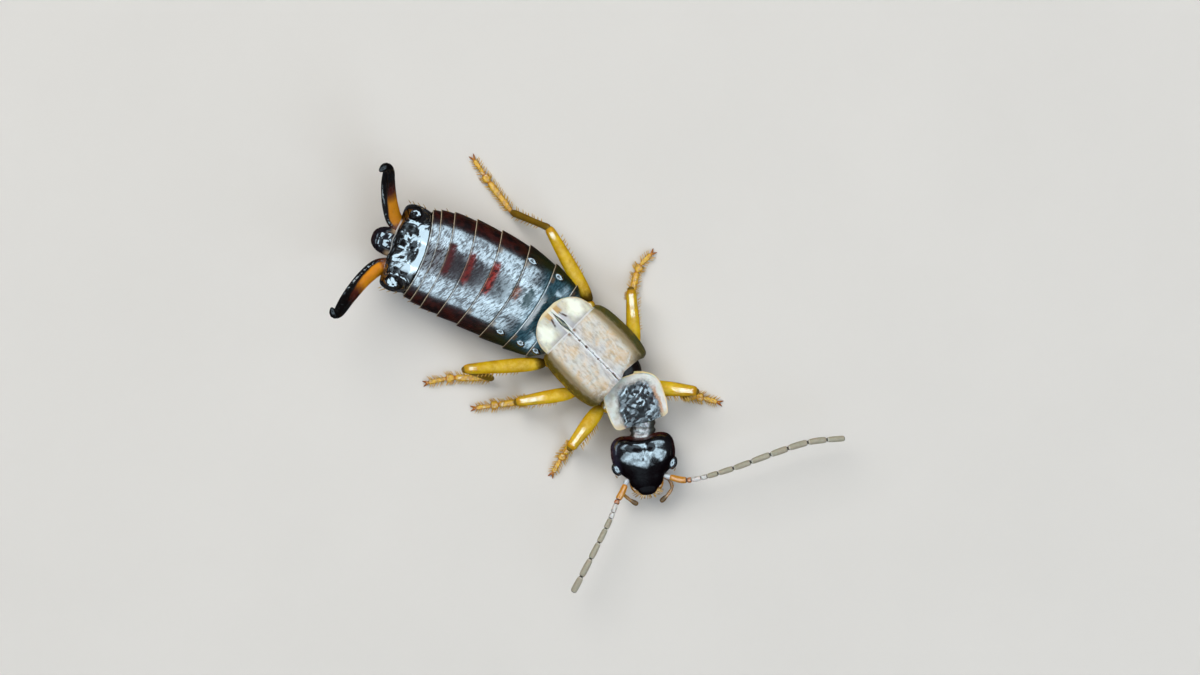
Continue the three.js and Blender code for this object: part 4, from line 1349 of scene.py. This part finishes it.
# %% Gloss of the plates
under_wings = out.fall(0.3, 0.7) * along.fall(0.35, 0.7)
middle = abs(across - 0.1 + (silk - 0.5) * 0.5).fall(0.3, 0.6)
middle = middle * along.rise(1.8, 2.1) * along.fall(4.2, 4.4)
broken = (0.24 + 0.76 * (silk * 0.6 + bands * 0.4).rise(0.39, 0.56)) * (1 - 0.5 * middle)
broken = broken * (1 - teal.math("MAXIMUM", painted_rim_shadow)) * (1 - 0.8 * rusty_corner)
bare = patch * (1 - 0.5 * silk.rise(0.54, 0.6))
pits = plates.cells(15).rise(0.0, 0.3)
plates.done(
    wrinkles * 0.12 + pits * 0.03 + bands * 0.7 + silk * 0.3, 0.07,
    Roughness=0.3 + 0.2 * wrinkles,
    Coat_Weight=(1 - 0.85 * on_flank) * (1 - bare) * (1 - under_wings) * broken)
dress(join("abdomen_rings", back_plates + belly_plates + [core]), "plates", plates, "abdomen")

# %% [markdown]
# ## Scent glands
# On each side of the front plates sits a small fold with a scent gland in it. It shows as a bead
# of gloss. One dome with a dimple is modelled and its copies are set on the flanks.

# %% Gland domes
alone()
bpy.ops.mesh.primitive_uv_sphere_add(segments=28, ring_count=16, radius=MM)
gland = bpy.context.object
gland.name = "gland"
bpy.ops.transform.resize(value=(0.12, 0.2, 0.1))
bpy.ops.object.transform_apply(location=False, rotation=False, scale=True)
smooth(gland, 1)
sculpt(gland, lambda x, y, z: (x, y, z - 0.05 * hump(math.hypot(x - 0.02, y), 0.035)))
glands = []
gland_places = ((1.36, 0.62), (1.34, 1.6), (-1.22, 0.45), (-1.27, 1.32), (-1.13, -0.2))
gland_lift = 0.07
for out, at in gland_places:
    half, top, waist, bottom = abdomen_size(at)
    share = (1 - (abs(out) / half) ** squareness) ** (1 / squareness)
    level = waist + (top - waist) * share + gland_lift
    dome = sculpt(twin(gland, "dome"), lambda x, y, z: (out + x, at + y, level + z))
    glands.append(lay(dome, bowed_place))
put_away(gland)
gland_finish = Finish("gland_gloss", Specular_IOR_Level=0.2, Coat_Weight=1.0, Coat_IOR=2.1,
                      Coat_Roughness=0.08)
grain = gland_finish.cloud(12, 3)
gland_finish.base(grain, (0.002, 0.003, 0.003), (0.014, 0.01, 0.006))
gland_finish.done(grain, 0.006, Roughness=0.15 + 0.2 * grain)
dress(join("gland_domes", glands), "plates", gland_finish)

# %% [markdown]
# ## Last back plate
# The plate over the root of the forceps is a broad, very shiny block. Its rear corners swell into
# knobs and its middle is folded and pitted. Large soft folds scatter the lamps into the swirls
# that make it look like wet tar.

# %% Last back plate
last_rear = 6.0
last_profile = through([
    (4.90, 1.38, 2.09, 1.25, 0.58),
    (5.04, 1.42, 2.12, 1.25, 0.52),
    (5.16, 1.46, 2.145, 1.25, 0.48),
    (5.4, 1.52, 2.205, 1.25, 0.5),
    (5.6, 1.53, 2.22, 1.25, 0.5),
    (5.8, 1.49, 2.18, 1.25, 0.54),
    (5.92, 1.40, 2.09, 1.25, 0.6),
    (last_rear, 1.25, 1.88, 1.25, 0.72),
])
knobs = [(1.43, 5.54, 0.4, 0.42, 0.56), (-1.45, 5.52, 0.38, 0.46, 0.56),
         (0.5, 5.74, 0.2, 0.2, 0.08), (-0.45, 5.74, 0.2, 0.2, 0.07)]


def last_shape(x, y, z):
    upper = ease(z, 1.3, 1.7)
    for knob_x, knob_y, wide, long, high in knobs:
        near = hump(math.hypot((x - knob_x) / wide, (y - knob_y) / long), 1)
        z += high * near * upper
        y += 0.07 * near * ease(y, 5.7, 5.95)
    for knob_x, knob_y, *sizes in knobs[:2]:
        ring = hump(math.hypot(x - knob_x, y - knob_y) - 0.5, 0.07)
        z -= 0.05 * ring * upper
    z -= 0.06 * hump(x, 0.12) * upper * ease(y, 5.25, 5.45)
    z -= 0.07 * hump(y - 5.92, 0.04) * upper * (1 - ease(abs(x), 0.75, 0.95))
    return x, y, z


def folded(x, y, z):
    """1 on the folded part of the last plate."""
    return ease(z, 1.5, 1.8) * ease(y, 5.25, 5.55)


def last_place(across, along, up):
    share = clamp((last_rear - along) / (last_rear - 5.16))
    return tail_place(across, along - seam_bow * share * (1 - (across / last_half) ** 2), up)


last_plate = sweep("last_back_plate", rows_of(last_profile, 4.9, last_rear, 17), sides=60)
smooth(last_plate, 2)
remember(last_plate)
sculpt(last_plate, last_shape)
crease(last_plate, "tar_folds", 0.38, 0.14, folded, 0)
lay(last_plate, last_place)

# %% Colour and gloss of the last plate
tar = Finish("wet_tar", Specular_IOR_Level=0.08, Coat_IOR=2.3, Coat_Roughness=0.1)
across, along, up = tar.axes()
out = abs(across)
swirl = tar.cloud(2.4, 2, 0.4, 1.8)
dull = tar.cloud((4, 11, 8), 4, 0.6, slant=25)
# Painted highlight: a pale line along the ridge at the rear edge of the plate.
painted_rear_highlight = along.rise(5.955, 5.98) * up.rise(1.4, 1.6) * out.fall(0.75, 0.95)
tar.base(swirl, (0.002, 0.002, 0.002), (0.008, 0.006, 0.006))
tar.over(painted_rear_highlight * 0.8, (0.85, 0.86, 0.86))

bare = abs(across + 0.92).fall(0.12, 0.28) * along.fall(5.75, 5.9)
for dark_oval in ((0.74, 5.62, 0.2, 0.24), (0.17, 5.43, 0.22, 0.1), (-0.26, 5.4, 0.2, 0.1)):
    edge = (tar.off(*dark_oval) ** 0.5 + (dull - 0.5) * 1.2).fall(0.8, 1.1)
    bare = bare + edge * (1 - bare)
inner_edge = along - 0.3 * abs(across - 0.25) + (dull - 0.5) * 0.15
crescent = along.rise(5.08, 5.12) * inner_edge.fall(5.2, 5.26)
crescent = crescent * across.rise(-0.9, -0.6) * across.fall(1.2, 1.4)
shine = (0.2 + 0.8 * up.rise(1.5, 1.8)) * (0.12 + 0.88 * dull.rise(0.42, 0.56))
shine = shine * (1 - 0.9 * bare) * (1 - crescent) + crescent
for knob_oval in ((1.22, 5.6, 0.36, 0.4), (-1.28, 5.56, 0.36, 0.46)):
    near = tar.off(*knob_oval) ** 0.5
    curls = (near * 12 + swirl * 8).math("SINE").rise(-0.7, -0.3)
    knob_top = near.fall(1.0, 1.25)
    shine = shine * (1 - knob_top) + curls * knob_top

stipple = tar.cells(12).rise(0.0, 0.3)
rough_middle = out.fall(0.6, 1.0) * along.rise(5.25, 5.4)
rolls = tar.cloud(2.0, 1, 0.4, 2.4) * out.rise(0.85, 1.1) * 0.7
height = swirl * (0.3 + 0.7 * along.rise(5.2, 5.5)) + rolls
tar.done(height + (stipple * 0.08 + dull * 0.25) * rough_middle, 0.07,
         Roughness=0.1 + 0.12 * swirl, Coat_Weight=shine)
dress(last_plate, "gloss_black", tar, "last_tergite")

# %% [markdown]
# ## Tail knob
# Between the forceps a blunt shiny wedge closes the body. It is a rounded block that grows out
# from under the last plate, with pale soft skin at its shoulders. A net of dull lines parts the
# white of the lamps on it.

# %% Tail knob
knob_rows = [(-0.5, 0.42, 0.20, 0.0, -0.22), (-0.35, 0.49, 0.29, 0.0, -0.28),
             (-0.15, 0.49, 0.36, 0.0, -0.32), (0.05, 0.45, 0.34, 0.0, -0.34),
             (0.22, 0.37, 0.24, 0.0, -0.32), (0.34, 0.24, 0.10, 0.0, -0.24),
             (0.39, 0.12, 0.03, -0.04, -0.14)]
knob = smooth(sweep("tail_knob", knob_rows, sides=32, square=2.1), 2)
remember(knob)
sculpt(knob, lambda x, y, z: (x, y, z - 0.05 * hump(math.hypot(x + 0.05, y + 0.16), 0.13)
                              + 0.03 * hump(abs(x) - 0.26, 0.1) * ease(z, 0.1, 0.25)))
lay(knob, lambda x, y, z: tail_place(x + 0.04, y + last_rear + 0.34, z + 1.38))
knob_finish = Finish("tail_knob_gloss", Specular_IOR_Level=0.08, Coat_IOR=2.1, Coat_Roughness=0.1)
across, along, up = knob_finish.axes()
swirl = knob_finish.cloud(2.6, 3, 0.5, 1.2)
soft_skin = along.fall(-0.3, -0.12) * abs(across).rise(0.25, 0.4)
knob_finish.base(up.fall(-0.1, 0.2), (0.008, 0.006, 0.01), (0.05, 0.018, 0.012))
knob_finish.over(soft_skin, (0.42, 0.3, 0.18))
net = knob_finish.cells(5, "DISTANCE_TO_EDGE") + (swirl - 0.5) * 0.25
knob_finish.done(swirl, 0.04, Roughness=0.12 + 0.15 * swirl,
                 Coat_Weight=net.rise(0.06, 0.14) * up.rise(0.05, 0.25))
dress(knob, "plates", knob_finish, "pygidium")

# %% [markdown]
# ## Forceps
# The forceps of this male stand wide apart and curve outwards, up and back in at the tip. They are
# amber and almost clear on the side that faces the body, and black on the far side and towards the
# tip, so the finish needs to know both how far along and how far round a point is. A broken line of
# painted blue-white glints runs along the far side, where the arms are too steep to mirror a lamp.

# %% Forceps finish
horn = Finish("forceps_horn", "frame", Specular_IOR_Level=0.2, Coat_IOR=1.8, Coat_Roughness=0.06,
              Subsurface_Weight=0.1, Subsurface_Scale=0.0004)
share = horn.number("share")
body_side = horn.number("body_side")
grain = horn.cloud(2.5, 4)
black = (0.003, 0.002, 0.002)
brown = horn.mix(grain, (0.1, 0.014, 0.004), (0.045, 0.007, 0.003))
horn.base(grain, (0.9, 0.38, 0.014), (0.62, 0.18, 0.006))
horn.over((share + (grain - 0.5) * 0.1).rise(0.4, 0.58), brown)
far_side = (body_side + (grain - 0.5) * 0.25 - (share - 0.2) * 1.1).fall(-0.6, -0.3)
horn.over(far_side, black)
horn.over(share.rise(0.58, 0.76), black)
horn.over(share.fall(0.1, 0.16) * 0.8, (0.16, 0.04, 0.008))
# Painted highlight: a broken line of blue-white glints along the far side of each arm.
painted_glints = abs(body_side + 0.74 + (grain - 0.5) * 0.2).fall(0.05, 0.16) * share.rise(0.08, 0.14)
painted_glints = painted_glints * share.fall(0.55, 0.7) * horn.cloud(3.4, 3, 0.7).rise(0.5, 0.56)
horn.over(painted_glints, (0.5, 0.62, 0.7))
dimples = horn.cells(7).fall(0.1, 0.3)
horn.done(grain - dimples * 0.6, 0.03, Roughness=0.1 + 0.16 * grain,
          Coat_Weight=0.03 + 0.12 * share.fall(0.5, 0.8) + 0.85 * far_side * share.fall(0.4, 0.65))

# %% Forceps arms
arm_stations = [(0.66, -0.3, 1.3), (0.84, 0.16, 1.42), (1.22, 0.43, 1.8), (1.66, 0.62, 2.4),
                (2.1, 0.76, 3.05), (2.52, 0.86, 3.68), (2.6, 0.99, 3.96), (2.42, 1.13, 4.1)]
arm_steps, arm_radius = 24, 0.25
arm_shares = [(i / arm_steps, 0.3 - 0.08 * i / arm_steps - 0.11 * (i / arm_steps) ** 6)
              for i in range(arm_steps)]
arm_model = rod("arm", arm_shares + [(0.985, 0.075), (1.0, 0.04)], 1, 22)
for side, name in sides:
    stations = []
    for out, back, level in arm_stations:
        lean = 0.05 + 0.08 * (level - 1.3)
        stations.append(plan(tail_place(side * out - lean, last_rear + back, level)))
    path, length = path_through(stations)
    arm = thread(arm_model, path, 0, length, body_side=lambda x, y, z: side * x / arm_radius)
    arm.name = f"{name}_forceps_arm"
    dress(arm, "forceps", horn, f"forceps_{name}")
put_away(arm_model)

# %% [markdown]
# ## Legs
# A leg is a row of bodies: the hip, a strong thigh, a thin shin and a foot of three parts with two
# claws. Each kind is modelled once, straight, and its copies are stretched from joint to joint.

# %% Leg places
leg_sizes = {
    "front": (1.9, 1.2, (0.52, 0.24, 0.5), 0.26),
    "middle": (2.15, 1.2, (0.98, 0.26, 0.52), 0.24),
    "hind": (3.0, 1.95, (1.3, 0.28, 0.62), 0.25),
}
poses = [
    ("front", 1, (0.05, -2.2), (0.38, -1.94), (-50, 1.35), 153, -49, -61),
    ("front", -1, (-0.65, -1.75), (-1.16, -1.39), (-172, 1.45), 20, -171, -165),
    ("middle", 1, (0.4, -0.65), (1.05, -0.8), (48.6, 1.42), -135, 33, 0),
    ("middle", -1, (-0.6, -0.55), (-1.42, -0.42), (144.2, 1.42), -39, 143, 143),
    ("hind", 1, (0.45, 0.85), (1.125, 1.43), (74.4, 1.66), 111.6, 82, 78),
    ("hind", -1, (-0.65, 0.7), (-1.46, 1.02), (139.2, 1.95), -64, 133.8, 148),
]
root_level, hip_level, ankle_level, sole_level = 0.62, 0.67, 0.27, 0.12


def reach_from(start, degrees, length, level):
    """The point at a level that a limb of known length reaches in a direction of the plan."""
    flat = math.sqrt(length ** 2 - (level - start[2]) ** 2)
    bearing = math.radians(degrees)
    return (start[0] + flat * math.cos(bearing), start[1] + flat * math.sin(bearing), level)


# %% Leg parts
hip_part = rod("hip", [
    (-0.05, 0.24), (0.2, 0.28), (0.6, 0.27), (0.85, 0.22), (0.97, 0.16), (1.02, 0.1)])
thigh_part = rod("thigh", [(-0.02, 0.46), (0.03, 0.68), (0.1, 0.88), (0.22, 1.0), (0.4, 1.0),
                           (0.6, 0.92), (0.8, 0.79), (0.9, 0.72), (0.95, 0.69), (0.985, 0.58),
                           (1.01, 0.34)], 1, 22, 2)
shin_part = rod("shin", [(-0.04, 0.07), (0.02, 0.125), (0.08, 0.13), (0.16, 0.11), (0.5, 0.115),
                         (0.8, 0.13), (0.93, 0.13), (1.0, 0.09), (1.03, 0.05)])
tarsus_part = rod("tarsus", [(-0.04, 0.06), (0.05, 0.09), (0.3, 0.11), (0.7, 0.12), (0.9, 0.122),
                             (0.97, 0.085), (1.02, 0.05)], 0.85)
pad_part = rod("pad", [
    (-0.1, 0.06), (0.1, 0.1), (0.45, 0.15), (0.8, 0.15), (1.0, 0.1), (1.08, 0.05)], 0.65)
claw_part = rod("claw", [
    (0.0, 0.05), (0.3, 0.042), (0.6, 0.03), (0.85, 0.018), (1.0, 0.006)], 1, 8)


def limb(part, start, end, kind, wide=1.0, hind=0):
    """A copy of a leg part, from one point of the plan to another."""
    path, length = path_through([start, end], 1)
    return thread(part, path, 0, length, wide, kind=kind, hind=hind)


def comb(start, end, wide, count, length, sides, from_share=0.08, to_share=0.95):
    """Rows of bristles along the sides of a limb, leaning towards its tip."""
    start, end = Vector(start), Vector(end)
    ahead = (end - start).normalized()
    across = ahead.cross(Vector((0, 0, 1))).normalized()
    hairs = []
    for side in sides:
        for i in range(count):
            at = from_share + (to_share - from_share) * (i + chance.uniform(0.2, 0.8)) / count
            out = across * side + Vector((0, 0, chance.uniform(-0.1, 0.5)))
            root = start.lerp(end, at) + out.normalized() * wide * 0.9
            lean = out + ahead * chance.uniform(0.5, 0.9)
            hairs.append(set_bristle(root, lean, length * chance.uniform(0.8, 1.2), -0.1))
    return hairs


# %% [markdown]
# The thighs are the colour of honey, clear at the knee, the shins are browner, and the feet are
# golden with orange joints and dark claws. The upper side is painted paler as a highlight, and the
# roots of the hind thighs are painted dark as shadow. The finish tells the parts apart by a number
# on them.

# %% Leg finish
leg_finish = Finish("leg_honey", "frame", Specular_IOR_Level=0.04, Coat_IOR=2.0,
                    Coat_Roughness=0.05, Subsurface_Weight=0.15, Subsurface_Scale=0.0003)
share, kind, hind = (leg_finish.number(name) for name in ("share", "kind", "hind"))
up = leg_finish.axes()[2]
grain = leg_finish.cloud(2.2, 4)
mottle = leg_finish.cloud(7, 4, 0.6)
leg_finish.base(grain.rise(0.35, 0.65), (0.73, 0.47, 0.006), (0.59, 0.34, 0.003))
leg_finish.over(mottle.rise(0.45, 0.7) * 0.25, (0.76, 0.55, 0.03))
# Painted highlight: the upper side of every leg part is laid paler.
painted_top_light = up.rise(0.12, 0.26) * (0.3 + 0.7 * mottle.rise(0.35, 0.6))
leg_finish.over(painted_top_light * 0.4, (0.82, 0.64, 0.16))
ends = share.fall(0.0, 0.12) + share.rise(0.9, 1.0)
leg_finish.over(ends * 0.6, (0.42, 0.17, 0.01))
# Painted shadow: the roots of the hind thighs are darkened where they pass under the body.
painted_root_shadow = (share + (mottle - 0.5) * 0.1).fall(0.05, 0.18) * hind
leg_finish.over(painted_root_shadow * 0.9, (0.035, 0.024, 0.004))

shin_tone = leg_finish.mix(grain, (0.24, 0.14, 0.008), (0.09, 0.05, 0.006))
foot_tone = leg_finish.mix(mottle.rise(0.4, 0.6), (0.74, 0.46, 0.05), (0.42, 0.2, 0.012))
foot_tone = leg_finish.mix(mottle.rise(0.55, 0.65) * 0.7, foot_tone, (0.85, 0.72, 0.42))
foot_tone = leg_finish.mix(ends * 0.8, foot_tone, (0.46, 0.15, 0.015))
claw_tone = leg_finish.mix(share, (0.5, 0.2, 0.02), (0.2, 0.05, 0.01))
hair_tone = leg_finish.mix(share, (0.46, 0.25, 0.03), (0.66, 0.42, 0.09))
part_tones = {
    shin_kind: shin_tone, foot_kind: foot_tone, claw_kind: claw_tone, hair_kind: hair_tone}
for number, part_tone in part_tones.items():
    leg_finish.over(kind.rise(number - 0.6, number - 0.4), part_tone)

near_knee = (share - hind * 0.3).rise(0.54, 0.62) * share.fall(0.94, 0.97) * kind.fall(0.4, 0.6)
near_knee = near_knee * (0.45 + 0.55 * mottle.rise(0.4, 0.52))
scales = leg_finish.cells(16).rise(0.0, 0.4)
leg_finish.done(scales * 0.5 + mottle * 0.5, 0.008, Roughness=0.3 + 0.2 * grain,
                Coat_Weight=0.02 + 0.98 * near_knee + 0.3 * kind.rise(1.4, 1.6) * mottle)

# %% Six legs
for pair, side, root, hip, knee, shin, foot, toe in poses:
    thigh, shank, (first, second, third), thick = leg_sizes[pair]
    hip_joint = (*hip, hip_level)
    knee_joint = reach_from(hip_joint, knee[0], thigh, knee[1])
    ankle = reach_from(knee_joint, shin, shank, ankle_level)
    pad = reach_from(ankle, foot, first, sole_level)
    pad_end = reach_from(pad, (foot + toe) / 2, second, sole_level)
    tip = reach_from(pad_end, toe, third, sole_level)
    parts = [
        limb(hip_part, (*root, root_level), hip_joint, thigh_kind),
        limb(thigh_part, hip_joint, knee_joint, thigh_kind, thick, hind=float(pair == "hind")),
        limb(shin_part, knee_joint, ankle, shin_kind),
        limb(tarsus_part, ankle, pad, foot_kind),
        limb(pad_part, pad, pad_end, foot_kind),
        limb(tarsus_part, pad_end, tip, foot_kind, 0.7),
    ]
    for spread in (-26, 26):
        claw_end = reach_from(tip, toe + spread, 0.24, 0.02)
        parts.append(limb(claw_part, tip, claw_end, claw_kind))
    thigh_hair = 0.2 if pair == "front" else 0.13
    both = (1, -1)
    parts += comb(hip_joint, knee_joint, thick, 12, thigh_hair, (side,), 0.3, 0.85)
    parts += comb(knee_joint, ankle, 0.11, 9, 0.16, both, 0.2)
    parts += comb(ankle, pad, 0.1, 5 + round(8 * first), 0.17, both)
    parts += comb(pad, pad_end, 0.13, 5, 0.16, both)
    parts += comb(pad_end, tip, 0.07, 6, 0.17, both)
    name = f"{pair}_{'left' if side > 0 else 'right'}"
    dress(join(f"{name}_leg", parts), "leg", leg_finish, f"leg_{name}")
put_away(hip_part, thigh_part, shin_part, tarsus_part, pad_part, claw_part)

# %% [markdown]
# ## Hairs of the tail
# The rear plates carry a few short stiff hairs along their flanks, which catch the light from the
# side.

# %% Tail hairs
tail_hairs = []
for side in (1, -1):
    for at in (3.5, 3.9, 4.25, 4.5, 4.7, 4.9, 5.3, 5.5, 5.7, 5.85):
        half = 1.5 if at > 5.1 else abdomen_size(at)[0]
        root = tail_place(side * half, at, 1.35)
        tip = tail_place(side * (half + 0.2), at + 0.25, 1.4)
        tail_hairs.append(hair_between(root, tip, 0.2 * chance.uniform(0.7, 1.2)))
dress(join("tail_hairs", tail_hairs), "plates", hair_finish)
put_away(bristle)
